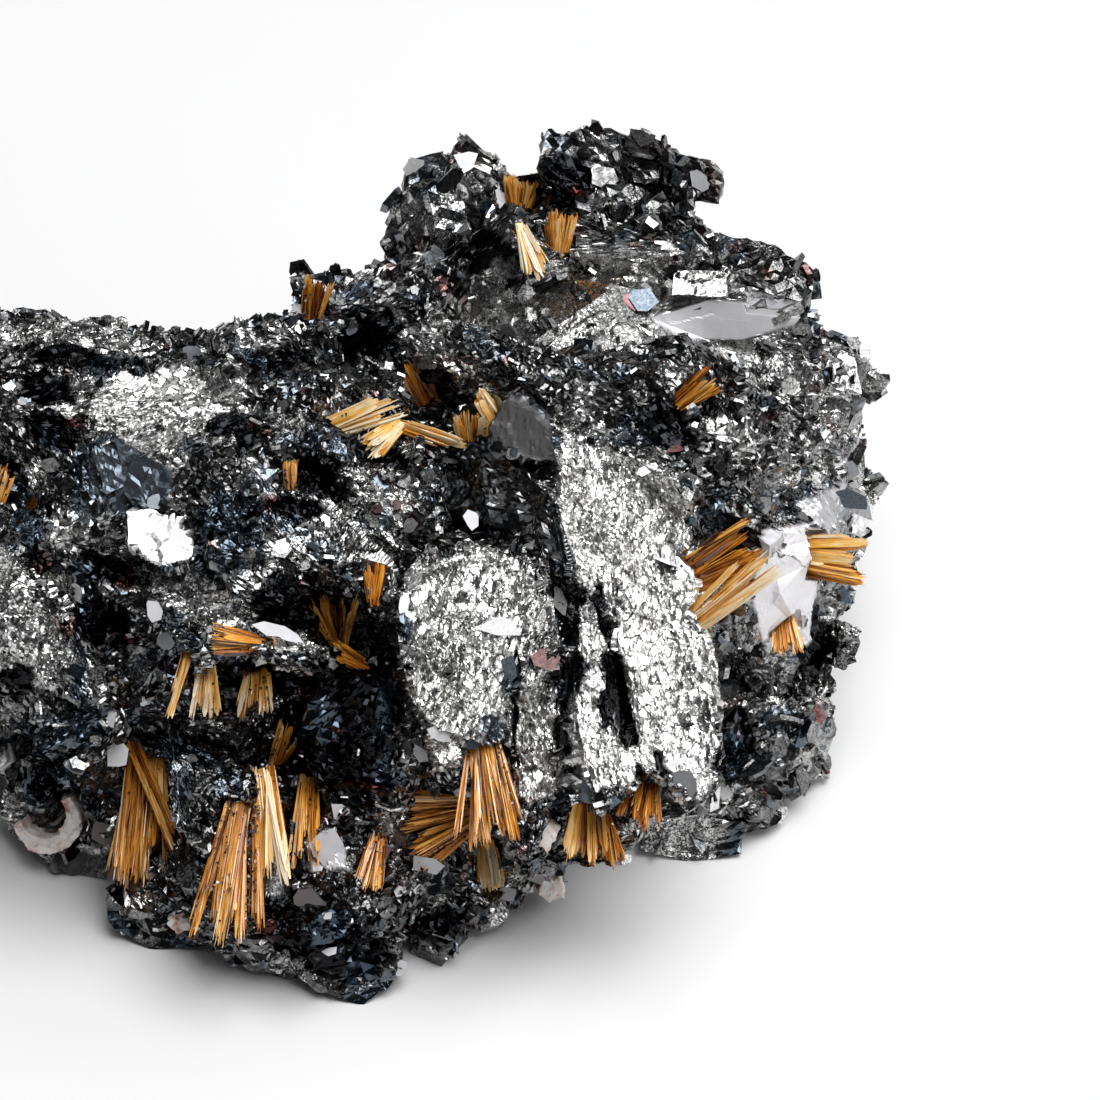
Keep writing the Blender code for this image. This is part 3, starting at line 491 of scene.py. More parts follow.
def feldspar_finish():
    """Pinkish white feldspar with a soft inner glow and a few rusty stains."""
    finish = Finish("feldspar", Roughness=0.42, Subsurface_Weight=0.25, Subsurface_Scale=0.6 * MM)
    stain = finish.cloud(0.8 * MM, 4.0)
    colour = finish.ramp(
        stain,
        (0.3, (0.93, 0.90, 0.88)),
        (0.55, (0.88, 0.79, 0.75)),
        (0.72, (0.42, 0.20, 0.14)),
    )
    finish.set(Base_Color=colour)
    return finish.material


def floor_finish():
    """Plain white board, with a tone too faint to show as a pattern."""
    finish = Finish("floor_white", Roughness=0.9)
    finish.set(Base_Color=finish.mix(finish.cloud(0.2, 1.0), (0.80, 0.80, 0.805), (0.82, 0.82, 0.82)))
    return finish.material


# The hematite

# Silver faces of the best side: outline, strength, and how far their wrinkles turn from the upright.
SILVER_FACES = {
    "right_leaf": (
        ((0.3, 6.6), (2.5, 5.5), (5.2, 4.0), (7.0, 2.9), (7.5, -0.5), (8.1, -4.5), (8.6, -8.5), (8.4, -12.5),
         (7.0, -12.2), (5.9, -10.8), (4.8, -11.5), (3.4, -12.1), (1.2, -12.5), (0.5, -11.0), (0.8, -7.5),
         (0.6, -4.5), (1.4, -1.8), (0.5, 1.5), (0.1, 4.0)), 1.0, 8),
    "strip": (((-1.8, -7.0), (-0.1, -5.0), (0.5, -7.5), (0.3, -12.5), (-1.8, -12.5), (-2.1, -10.0)), 0.75, 4),
    "dome": (
        ((-7.5, -1.5), (-6.0, -0.2), (-3.5, 0.2), (-1.5, 0.0), (-0.1, -1.5), (0.3, -3.4), (-1.0, -4.8),
         (-2.5, -7.0), (-2.5, -9.8), (-4.0, -10.8), (-6.0, -11.0), (-7.2, -9.5), (-7.6, -7.0), (-7.0, -4.5)),
        0.9, -20),
    "shoulder": (
        ((-23.0, 7.8), (-21.0, 9.1), (-18.0, 9.6), (-15.8, 8.5), (-14.6, 6.2), (-16.8, 5.2), (-18.0, 5.5),
         (-19.0, 4.6), (-21.0, 5.5), (-22.5, 6.0)), 0.9, -60),
    "top_crust": (
        ((-29.5, 11.5), (-24.5, 11.4), (-21.2, 10.8), (-19.0, 9.6), (-22.0, 9.7), (-24.5, 10.2),
         (-29.5, 10.0)), 0.6, 90),
    "left_edge": (
        ((-30.5, 0.5), (-27.0, -0.5), (-25.2, -3.0), (-24.4, -5.5), (-25.5, -7.0), (-30.5, -6.5)), 0.75, -15),
    "front_ledge": (
        ((-21.0, -1.0), (-17.5, -2.0), (-10.8, -4.5), (-10.8, -5.3), (-16.0, -3.9), (-20.0, -2.6)), 0.6, -65),
    "valley_rim": (
        ((-12.5, 3.5), (-10.2, 2.5), (-7.5, -0.5), (-7.8, -2.5), (-10.0, -0.5), (-12.0, 1.5)), 0.35, -30),
}

# Flat faces of the best side: outline, silveriness, blueness, and mattness, how far a painted reflection tone
# takes the place of mirroring.
FLAT_FACES = {
    "gray_facet": (
        ((-3.1, 7.2), (-1.9, 7.5), (-0.1, 6.9), (0.3, 4.5), (-1.0, 4.6), (-2.9, 5.5)), 0.1, 0, 0.9),
    "mirror": (
        ((-21.1, 1.9), (-19.5, 2.1), (-17.9, 1.5), (-17.7, -0.5), (-19.5, -0.8), (-21.2, 0.2)), 1.0, 0, 0.2),
    "blue_plate": (
        ((-23.2, 5.2), (-22.0, 6.0), (-21.0, 5.2), (-18.9, 4.0), (-19.2, 2.2), (-21.5, 1.8), (-23.0, 3.0)),
        0.1, 0.8, 0.25),
    "valley_wall": (
        ((-6.0, 4.0), (-3.0, 4.8), (0.1, 4.0), (1.4, -1.5), (0.2, -0.5), (-1.5, 1.0), (-5.0, 1.5)),
        0, 0.1, 0),
    "gray_blade": (
        ((5.0, 11.6), (7.5, 12.5), (12.5, 12.4), (12.6, 11.4), (9.5, 10.5), (6.5, 10.6)), 0.85, 0, 0.8),
    "lavender_plate": (
        ((10.1, -2.5), (10.6, 1.0), (13.2, 1.4), (13.6, -0.5), (13.0, -4.5), (10.8, -5.2)), 0.85, 0.05, 0.8),
    "lavender_chip": (
        ((-12.2, -14.4), (-11.2, -13.7), (-10.2, -14.8), (-10.2, -15.9), (-11.9, -16.1)), 0.8, 0.1, 0.8),
    "side_plate": (((12.5, 2.5), (15.0, 3.5), (16.1, 2.2), (15.9, 0.5), (13.5, 0.2)), 0.6, 0.1, 0.6),
}

# Hollows of the best side, painted black as shade and left with few plates: ellipses with their centre,
# half-sizes and turn.
PAINTED_SHADE_HOLLOWS = (
    (-24.5, 9.9, 2.8, 0.5, -3), (-25.4, 8.1, 1.6, 1.0, 0), (-25.0, 5.9, 1.7, 1.0, -20),
    (-27.0, 3.4, 0.7, 1.3, 0), (-15.8, 6.1, 1.7, 0.8, 10), (-11.4, 3.4, 1.7, 1.0, -30),
    (-12.9, 2.1, 1.8, 0.6, 0), (-16.4, 1.5, 1.2, 1.2, 0), (-22.1, -0.9, 1.9, 0.8, -25),
    (-22.5, -3.8, 1.8, 1.5, 0), (-26.6, -6.6, 1.1, 1.1, 0), (-14.4, -6.5, 2.8, 0.8, -10),
    (-13.4, -2.6, 1.9, 1.5, 0), (-3.1, 2.5, 3.0, 2.1, -10), (-10.5, -9.2, 3.6, 4.4, -28),
    (-18.6, -9.8, 3.0, 0.7, -5), (-5.9, 7.9, 1.7, 1.1, -30), (-9.2, 10.8, 2.0, 1.2, 20),
    (8.9, 1.2, 1.1, 0.9, -30), (13.2, -5.0, 0.9, 2.4, 8), (-11.5, -19.2, 4.0, 1.8, -20),
    (-22.9, -18.8, 1.9, 1.5, -30), (-25.5, -11.2, 2.2, 0.9, 15), (9.2, -9.8, 1.2, 2.3, 0),
    (-19.6, -12.8, 0.7, 2.0, 0), (-12.9, -14.0, 0.7, 2.3, 0), (-7.8, 4.5, 1.5, 0.7, -20),
    (3.0, -7.0, 0.5, 2.5, -8), (1.0, -4.5, 0.5, 3.5, 4), (-5.5, -18.8, 1.7, 1.1, 20),
    (-14.0, 9.5, 2.0, 0.7, 10), (5.5, 6.5, 2.0, 1.1, -30), (0.5, 18.5, 2.0, 1.3, 0),
    (-3.5, 15.0, 2.0, 1.0, 0),
)

# Where the crust is tinged dark blue: ellipses too.
BLUE_PATCHES = (
    (-26.1, 1.8, 1.0, 1.8, 10), (-16.0, 0.2, 1.9, 1.8, 0), (-25.2, -9.2, 1.2, 1.2, 20),
    (-23.4, -8.9, 1.4, 1.0, 0), (-18.6, -5.6, 1.2, 0.9, 40), (-2.9, -9.2, 0.8, 1.1, 0),
    (-7.2, -3.4, 0.4, 1.4, 5), (13.8, 2.4, 1.6, 0.9, -10), (-11.5, 12.0, 1.2, 0.8, 30),
)

# Ledges and ridges that catch the light, with silveriness painted on as a highlight: the same, and how
# silvery they are painted.
PAINTED_HIGHLIGHT_RIDGES = (
    (-14.1, 5.9, 2.4, 0.6, -32, 0.5), (-8.9, 2.6, 3.3, 0.7, -40, 0.3), (-15.0, -3.1, 3.8, 0.5, -22, 0.7),
    (-24.4, -4.9, 2.9, 0.7, -40, 0.5), (-20.8, 4.4, 2.0, 0.6, -25, 0.4), (-13.0, -0.3, 1.7, 0.3, -3, 0.6),
    (-17.7, -2.0, 2.0, 0.5, -35, 0.4), (-11.0, -14.0, 1.5, 0.9, 0, 0.2), (-6.5, 11.0, 2.5, 0.7, -25, 0.2),
    (10.5, 11.5, 3.0, 1.2, -35, 0.2), (13.5, 6.0, 2.0, 2.5, 0, 0.2), (2.5, 15.0, 2.5, 1.2, -10, 0.2),
    (-12.5, 13.8, 2.0, 1.0, 30, 0.2), (7.0, -7.5, 1.1, 3.0, 4, 0.3), (-24.5, -2.5, 1.0, 1.5, 0, 0.3),
)

# Single crystals of the best side, one by one: the place, half-sizes and turn of the face, then its
# silveriness, blueness, rustiness and mattness, how far a painted reflection tone takes the place of
# mirroring.
CRYSTALS = (
    (-2.6, -3.9, 1.1, 0.5, -8, 1, 0, 0, 0.6), (-5.5, -9.2, 0.75, 0.5, -35, 1, 0, 0, 0.6),
    (-6.6, -10.1, 0.6, 0.4, -35, 1, 0, 0, 0.6), (-3.9, 1.5, 0.4, 0.55, 10, 1, 0, 0, 0.8),
    (-19.8, 2.4, 0.6, 0.55, 0, 0.35, 0.7, 0, 0.5), (-10.5, -13.1, 0.5, 0.5, 20, 1, 0.05, 0, 0.8),
    (-22.2, -8.2, 0.5, 0.8, 15, 0.9, 0.1, 0, 0.6), (-7.2, -9.9, 0.45, 0.5, 0, 0.02, 0, 0, 0.7),
    (-7.2, -3.0, 0.35, 1.15, 5, 1, 0.25, 0, 0.7), (-3.8, -9.6, 0.65, 0.5, -20, 0.3, 0.9, 0, 0.4),
    (-2.0, -6.0, 0.5, 0.8, 5, 0.3, 0.9, 0, 0.4), (-0.2, -5.5, 0.85, 0.75, 0, 0.2, 0, 0.8, 0.2),
    (6.7, -11.6, 0.8, 0.9, 10, 0.35, 0.2, 0, 0.7), (8.3, -12.5, 0.3, 0.7, -10, 1, 0, 0, 0.5),
    (-11.2, -14.9, 1.0, 1.15, 12, 0.75, 0.12, 0, 0.85),
    (-6.2, -15.8, 0.95, 0.6, -12, 0.75, 0.12, 0, 0.85), (-19.8, -3.0, 0.6, 0.55, 0, 0.75, 0.12, 0, 0.85),
    (-13.6, -4.2, 1.5, 0.5, -22, 0.7, 0.1, 0, 0.8), (-21.6, -10.2, 0.6, 0.75, 0, 0.75, 0.12, 0, 0.85),
    (-11.1, -18.3, 0.3, 0.25, 0, 0.9, 0.1, 0, 0.8), (-11.0, -20.1, 0.4, 0.3, 10, 0.85, 0.1, 0, 0.8),
    (-7.5, -20.9, 0.5, 0.45, 0, 0.7, 0.1, 0, 0.8), (-19.3, -4.5, 0.5, 0.55, 0, 0.8, 0.5, 0, 0.7),
    (-12.2, -17.5, 0.95, 0.65, 0, 0.2, 0, 0.7, 0.7), (-22.5, -14.2, 0.6, 0.85, 10, 0.2, 0, 0.5, 0.8),
    (-23.6, -15.6, 1.35, 0.8, -3, 0.06, 0, 0, 0.6), (-24.5, -15.6, 0.5, 0.75, -3, 0.04, 0, 0, 0.6),
    (-16.8, -0.8, 0.5, 0.2, -30, 0.9, 0, 0, 0.5), (0.5, -2.5, 0.4, 1.0, 10, 0.6, 0, 0, 0.4),
    (-4.0, -12.0, 0.45, 0.4, 0, 0.9, 0.1, 0, 0.6), (-2.2, -17.2, 0.6, 0.35, -5, 0.7, 0.1, 0, 0.8),
    (0.5, -17.0, 0.4, 0.3, 20, 0.8, 0, 0, 0.8), (-12.5, 12.0, 0.5, 0.3, -20, 0.6, 0.1, 0, 0.7),
    (7.5, 18.5, 0.5, 0.8, 30, 0.5, 0.2, 0, 0.7), (-6.8, 19.2, 0.45, 0.6, -30, 0.6, 0.2, 0, 0.6),
    (-4.2, 19.5, 0.6, 0.7, 20, 0.5, 0.3, 0, 0.6), (-2.5, 17.5, 0.5, 0.5, 0, 0.8, 0, 0, 0.7),
    (4.8, 4.0, 0.5, 0.3, 10, 0.7, 0, 0, 0.5), (15.0, 2.5, 1.3, 0.7, -10, 0.1, 0.8, 0, 0.5),
    (14.8, 4.0, 0.7, 0.6, 20, 0.4, 0.4, 0, 0.6), (-10.0, 11.0, 0.4, 0.3, 20, 0.5, 0.6, 0, 0.5),
    (-14.8, 11.1, 0.45, 0.4, 10, 0.5, 0.5, 0, 0.5), (-18.0, 9.9, 0.6, 0.3, -5, 0.5, 0.5, 0, 0.6),
    (-0.5, -16.5, 0.6, 0.3, -5, 0.8, 0, 0, 0.7), (3.0, -12.5, 0.5, 0.4, 0, 0.3, 0.8, 0, 0.4),
    (2.0, -12.0, 0.6, 0.8, 0, 0.15, 0.6, 0, 0.5),
)

# Furrows of the silver faces, with painted shade in them: the seen line from one end to the other, half-width
# and depth, in mm. No furrow is as deep as the backing of the crust.
FURROWS = (
    ((2.4, -2.0), (3.1, -5.5), 0.35, 0.34),
    ((3.1, -5.5), (3.9, -9.4), 0.70, 0.36),
    ((3.9, -9.4), (4.6, -11.4), 0.20, 0.3),
    ((0.1, 1.0), (1.4, -2.5), 0.75, 0.36),
    ((1.4, -2.5), (0.7, -8.0), 0.32, 0.34),
    ((0.5, -8.5), (0.9, -12.0), 0.35, 0.34),
    ((-0.6, -1.0), (-0.3, -5.5), 0.18, 0.35),
    ((-1.7, -5.0), (-1.9, -12.0), 0.18, 0.4),
    ((5.4, -10.2), (5.9, -12.4), 0.30, 0.34),
)


def silver_at(points):
    """The share of each silver face at each point, and the hidden sides' own silver spots."""
    across, up, toward = seen_place(points)
    front = smooth_step(toward, -7.0, -5.0)
    ragged = 0.45 * smooth_noise(points, 1.0 * MM, 31) + 0.25 * smooth_noise(points, 0.4 * MM, 32)
    shares = {
        name: front * smooth_step(inside(across, up, outline) + ragged, -0.25, 0.25)
        for name, (outline, _, _) in SILVER_FACES.items()
    }
    shares["hidden"] = (1 - front) * smooth_step(smooth_noise(points, 7 * MM, 41), 0.3, 0.5)
    return shares


def flat_at(points, normals):
    """How flat each point is, and the silveriness, blueness and mattness of the flat face that it is on.

    Only the parts of the solid that are turned toward the viewer count.
    """
    across, up, toward = seen_place(points)
    front = smooth_step(toward, -22.0, -20.0) * smooth_step(normals @ TOWARD, 0.2, 0.45)
    flat, *looks = np.zeros((4, len(points)))
    for outline, *strengths in FLAT_FACES.values():
        share = front * smooth_step(inside(across, up, outline), -0.08, 0.08)
        flat = np.maximum(flat, share)
        looks = [np.maximum(look, share * strength) for look, strength in zip(looks, strengths)]
    return flat, *looks


def painted_light_at(points):
    """Painted shade at each point in the dark hollows, and the painted highlight of silveriness on its ledge,
    on the side that is seen.
    """
    across, up, toward = seen_place(points)
    front = smooth_step(toward, -24.0, -20.0)
    ragged = np.array((0.5, 0.35)) @ [smooth_noise(points, size * MM, 33) for size in (1.3, 0.5)]
    dark, light = np.zeros((2, len(points)))
    for hollow in PAINTED_SHADE_HOLLOWS:
        dark = np.maximum(dark, in_ellipse(across + ragged, up - ragged, hollow))
    for *ridge, strength in PAINTED_HIGHLIGHT_RIDGES:
        light = np.maximum(light, strength * in_ellipse(across - ragged, up + ragged, ridge))
    return dark * front, light * front * (1 - dark)


def turned(across, up, turn):
    """Across and along a direction that is turned from the upright."""
    angle = math.radians(turn)
    return across * math.cos(angle) + up * math.sin(angle), up * math.cos(angle) - across * math.sin(angle)


def woven(points, shares):
    """The places that the grain follows, squeezed along the wrinkles where a face is silver."""
    weave = points.copy()
    across, up, toward = seen_place(points)
    for name, (_, _, turn) in SILVER_FACES.items():
        chosen = shares[name] > 0.5
        over, along = turned(across[chosen], up[chosen], turn)
        weave[chosen] = np.column_stack((over, 0.42 * along, 0.6 * toward[chosen])) * MM
    return weave


def hematite_spacing(middles):
    """The longest edge that is left: fine on silver faces, middling on the best side, coarse elsewhere."""
    across, up, toward = seen_place(middles)
    front = smooth_step(toward, -20.0, -9.0) * smooth_step(middles[:, 2] / MM, 1.0, 3.0)
    silver = np.zeros(len(middles), bool)
    for outline, _, _ in SILVER_FACES.values():
        silver |= (toward > -7) & (inside(across, up, outline) > -0.3)
    return np.where(silver, 0.135, 0.70 - 0.36 * front) * MM


def wrinkled(points, turn):
    """Height of a foil-like silver face: wrinkles that run at a turn from the upright, and small steps."""
    across, up, toward = seen_place(points)
    over, along = turned(across, up, turn)
    over = over + 0.35 * smooth_noise(points, 1.6 * MM, 61)
    stretched = np.column_stack((over, along * 0.5, toward * 0.8)) * MM
    height = 0.28 * MM * smooth_noise(stretched, 1.7 * MM, 62)
    height += facets(stretched, 0.8 * MM, 0.26, 0.03 * MM, 63)
    height += facets(stretched, 0.3 * MM, 0.42, 0.02 * MM, 64)
    return height


def near_sheaves(points, margin):
    """Which points lie in or close round a sheaf's wedge, where nothing may grow over its needles."""
    near = np.zeros(len(points), bool)
    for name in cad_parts:
        if name.startswith("rutile_"):
            root, side, along, normal, length, root_half, tip_half, half_depth = wedge_axes(name)
            chosen = np.flatnonzero(length_of(points - root)[:, 0] < length + 2 * MM)
            x, y, z = ((points[chosen] - root) @ axis for axis in (side, along, normal))
            half = root_half + (tip_half - root_half) * np.clip(y / length, 0, 1) + margin
            flat = (abs(x) < half) & (y > 0) & (y < length + margin)
            near[chosen] |= flat & (abs(z) < half_depth + 2 * margin)
    return near


def furrow_depth(points):
    """How deep the furrows of the silver faces are at each point: ragged grooves along seen lines."""
    across, up, toward = seen_place(points)
    depth = np.zeros(len(points))
    bend = 0.18 * smooth_noise(points, 0.9 * MM, 71)
    for (x0, y0), (x1, y1), half_width, deep in FURROWS:
        dx, dy = x1 - x0, y1 - y0
        share = np.clip(((across - x0) * dx + (up - y0) * dy) / (dx * dx + dy * dy), 0, 1)
        distance = np.hypot(across - x0 - share * dx, up - y0 - share * dy) + bend
        depth = np.maximum(depth, deep * (1 - smooth_step(distance, 0.3 * half_width, half_width)))
    return depth * MM * (toward > -6)


def hematite_skin(material):
    """The hematite's solid with its crust: crystal faces at three sizes, and wrinkles where it is silver."""
    coarse = merged_node("hematite_mass")
    fine = refine(*coarse, hematite_spacing)
    points, triangles, _ = fine
    normals = corner_normals(points, triangles)
    shares = silver_at(points)
    flat, flat_silver, blue, matte = flat_at(points, normals)
    silver = np.minimum(sum(shares.values()), 1)
    height = facets(points, 2.6 * MM, 0.14, 0.14 * MM, 3) * (1 - 0.6 * silver)
    height += facets(points, 1.1 * MM, 0.28, 0.09 * MM, 5) * (1 - silver)
    height += facets(points, 0.55 * MM, 0.34, 0.03 * MM, 7) * (1 - silver)
    for name, (_, _, turn) in SILVER_FACES.items():
        chosen = shares[name] > 0
        height[chosen] += shares[name][chosen] * wrinkled(points[chosen], turn)
    height *= 1 - (0.55 + 0.25 * flat_silver) * flat
    furrow = furrow_depth(points)
    furrowed = smooth_step(furrow / MM, 0.08, 0.3)
    height = height * (1 - furrowed) - furrow
    height = np.where(near_sheaves(points, 0.25 * MM), np.minimum(height, -0.05 * MM), height)
    dark, light = painted_light_at(points)
    patches = smooth_step(smooth_noise(points, 1.8 * MM, 83), -0.1, 0.5)
    shine = np.maximum(shares["hidden"] * 0.6, 0.45 * patches)
    for name, (_, strength, _) in SILVER_FACES.items():
        shine = np.maximum(shine, shares[name] * strength)
    # Painted highlight: the ridges are painted silvery.
    shine = np.maximum(shine, light)
    # Painted shade: the dark hollows and the furrows' floors are painted below zero silveriness, darker than
    # the bare hematite.
    painted_shade = np.maximum(dark, furrowed)
    shine = shine * (1 - painted_shade) - 0.3 * painted_shade
    resting = smooth_step(points[:, 2] / MM, 0.0, 0.8)
    raised = points + normals * (height * resting)[:, None]
    raised[:, 2] = np.maximum(raised[:, 2], 0)
    uneven = smooth_step(smooth_noise(points, 1.6 * MM, 82), -0.2, 0.5)
    grain = 0.15 + 0.7 * uneven * (1 - 0.3 * silver) + 0.2 * silver
    stains = 0.6 * smooth_step(smooth_noise(points, 1.5 * MM, 84), 0.35, 0.6) * (1 - silver)
    across, up, _ = seen_place(points)
    for patch in BLUE_PATCHES:
        stains = np.maximum(stains, 0.75 * in_ellipse(across, up, patch))
    attributes = {
        "shine": shine * (1 - flat) + flat_silver,
        "grain": grain * (1 - 0.9 * flat),
        "blue": np.maximum(blue, stains * (1 - flat)),
        "matte": matte,
        "rust": 0.5 * smooth_step(smooth_noise(points, 1.4 * MM, 81), 0.62, 0.8) * (1 - silver),
        "weave": woven(points, shares),
    }
    make_parts(
        "hematite_crystals", coarse, fine, raised, hematite_spacing, attributes,
        material=material, slot="hematite", replaced=["hematite_mass"],
    )
    return raised, triangles, silver, flat, dark


def tabular_crystals(name, places, axes, sizes, values, material, rng):
    """Thin six-sided plates: an irregular outline round a place, extruded along the plate's axis."""
    count = len(places)
    side = unit(np.cross(axes, rng.normal(size=(count, 3))))
    other = np.cross(axes, side)
    angles = (np.arange(6) + rng.uniform(-0.3, 0.3, (count, 6))) * math.pi / 3
    radii = sizes[:, None] * rng.uniform(0.7, 1.15, (count, 6))
    stretch = rng.uniform(0.55, 1.0, (count, 1))
    flat = side[:, None] * (radii * np.cos(angles))[..., None]
    flat = flat + other[:, None] * (radii * stretch * np.sin(angles))[..., None]
    half = axes * (sizes * rng.uniform(0.06, 0.2, count))[:, None]
    low = places[:, None] + flat * rng.uniform(0.8, 1.0, (count, 1, 1)) - half[:, None]
    high = places[:, None] + flat + half[:, None]
    points = np.stack((low, high), axis=1)
    grid = np.arange(count * 12).reshape(count, 2, 6)
    bottom, top = grid[:, 0], grid[:, 1]
    caps = (top[:, :4], top[:, [0, 3, 4, 5]], bottom[:, 3::-1], bottom[:, [5, 4, 3, 0]])
    polygons = np.concatenate((walls_between(bottom, top), *caps))
    points = points.reshape(-1, 3)
    attributes = {key: np.repeat(v, 12) for key, v in values.items()}
    make_piece(name, points, polygons, material, "hematite", attributes={"weave": points, **attributes})


def scatter_crystals(skin, material, rng):
    """Plates grown on the crust in small stepped stacks; near neighbours lean roughly the same way."""
    points, triangles, silver, flat, dark = skin
    a, b, c = (points[triangles[:, i]] for i in range(3))
    crosses = np.cross(b - a, c - a)
    middles = (a + b + c) / 3
    area = length_of(crosses)[:, 0]
    _, _, toward = seen_place(middles)
    front = smooth_step(toward, -9.0, -5.0)
    bare = (1 - flat[triangles[:, 0]]) * (middles[:, 2] > 0.6 * MM) * (1 - 0.7 * dark[triangles[:, 0]])
    dull = 1 - 0.94 * silver[triangles[:, 0]]
    groups = (
        ("crystal_plates_front", front * dull, 4600, 0.28, 0.6),
        ("crystal_plates_back", 1 - front, 2600, 0.5, 0.5),
    )
    for name, density, stacks, size, spread in groups:
        weight = area * bare * density
        seeds = rng.choice(len(triangles), stacks, p=weight / weight.sum())
        heights = rng.integers(1, 4, stacks)
        level = np.concatenate([np.arange(height) for height in heights])
        chosen = np.repeat(seeds, heights)
        count = len(chosen)
        normals = unit(crosses[seeds])
        cells = np.floor(middles[seeds] / (3.5 * MM)).astype(np.int64)
        lean = RANDOMS[cell_numbers(cells, 91)][:, :3]
        axes = unit(0.55 * normals + 0.8 * lean + rng.normal(0, 0.22, (stacks, 3)))
        axes *= np.where((axes * normals).sum(axis=1, keepdims=True) < 0, -1, 1)
        sizes = size * np.minimum(np.exp(rng.normal(0, spread, stacks)), 2.2) * MM
        sunk = middles[seeds] - normals * (sizes * rng.uniform(-0.1, 0.35, stacks))[:, None]
        sizes = np.repeat(sizes, heights)
        places = np.repeat(sunk, heights, axis=0)
        axes = unit(np.repeat(axes, heights, axis=0) + rng.normal(0, 0.03, (count, 3)))
        places = places + axes * (level * sizes * 0.24)[:, None]
        places = places + rng.normal(0, 0.12, (count, 3)) * sizes[:, None]
        sizes = sizes * (1 - 0.14 * level) * rng.uniform(0.8, 1.1, count)
        places[:, 2] = np.maximum(places[:, 2], 1.2 * sizes)
        # Painted shade: plates in the dark hollows have their silveriness cut and pushed below zero.
        painted_shade = dark[triangles[chosen, 0]]
        bright = rng.random(count)
        shine = np.where(bright < 0.24, rng.uniform(0.3, 1.0, count), rng.uniform(0, 0.3, count))
        values = {
            "shine": np.where(painted_shade > 0.5, np.minimum(shine, 0.3) - 0.15, shine),
            "grain": rng.uniform(0, 0.12, count),
            "blue": np.where(rng.random(count) < 0.18, rng.uniform(0.3, 0.9, count), 0),
            "rust": np.where(rng.random(count) < 0.03, 0.6, 0),
            "matte": np.where(rng.random(count) < 0.06, 0.5, 0),
        }
        clear = ~near_sheaves(places, 0.2 * MM)
        values = {key: v[clear] for key, v in values.items()}
        tabular_crystals(name, places[clear], axes[clear], sizes[clear], values, material, rng)


def single_crystals(skin, material, rng):
    """The crystals of the table: irregular plates, each on the foremost part of the crust at its place."""
    across, up, toward = seen_place(skin[0])
    points, polygons = [], []
    for x, y, wide, high, turn, *_ in CRYSTALS:
        near = (abs(across - x) < 0.6 * wide) & (abs(up - y) < 0.6 * high) & (toward > -24)
        depth = np.percentile(toward[near], 90)
        corners = 7
        angles = (np.arange(corners) + rng.uniform(-0.42, 0.42, corners)) * math.tau / corners
        reach = rng.uniform(0.6, 1.2, corners)
        over, along = turned(wide * reach * np.cos(angles), high * reach * np.sin(angles), -turn)
        slope = rng.uniform(-0.25, 0.25, 2)
        ahead = depth + 0.08 + slope[0] * over + slope[1] * along
        for low in (0, 0.22):
            shrink = 1 - ahead * MM / SIGHT_DISTANCE
            seen = np.column_stack((shrink * (x + over), shrink * (y + along), ahead - low)) * MM
            points.append(FACE_CENTRE + seen @ SIGHT_BASIS)
    points = np.concatenate(points)
    points[:, 2] = np.maximum(points[:, 2], 0.05 * MM)
    grid = np.arange(len(points)).reshape(len(CRYSTALS), 2, corners)
    top, bottom = grid[:, 0], grid[:, 1]
    walls = walls_between(bottom, top)
    fans = np.array([(0, i, i + 1, i + 1) for i in range(1, corners - 1)])
    faces = [walls[:, [0, 1, 2]], walls[:, [0, 2, 3]]]
    faces += [top[:, fan[:3]] for fan in fans] + [bottom[:, fan[2::-1]] for fan in fans]
    looks = np.repeat(np.array(CRYSTALS)[:, 5:].T, 2 * corners, axis=1)
    attributes = dict(zip(("shine", "blue", "rust", "matte"), looks))
    attributes["grain"] = np.full(len(points), 0.06)
    attributes["weave"] = points
    make_piece("crystal_faces", points, np.concatenate(faces), material, "hematite", attributes=attributes)


# The rutile

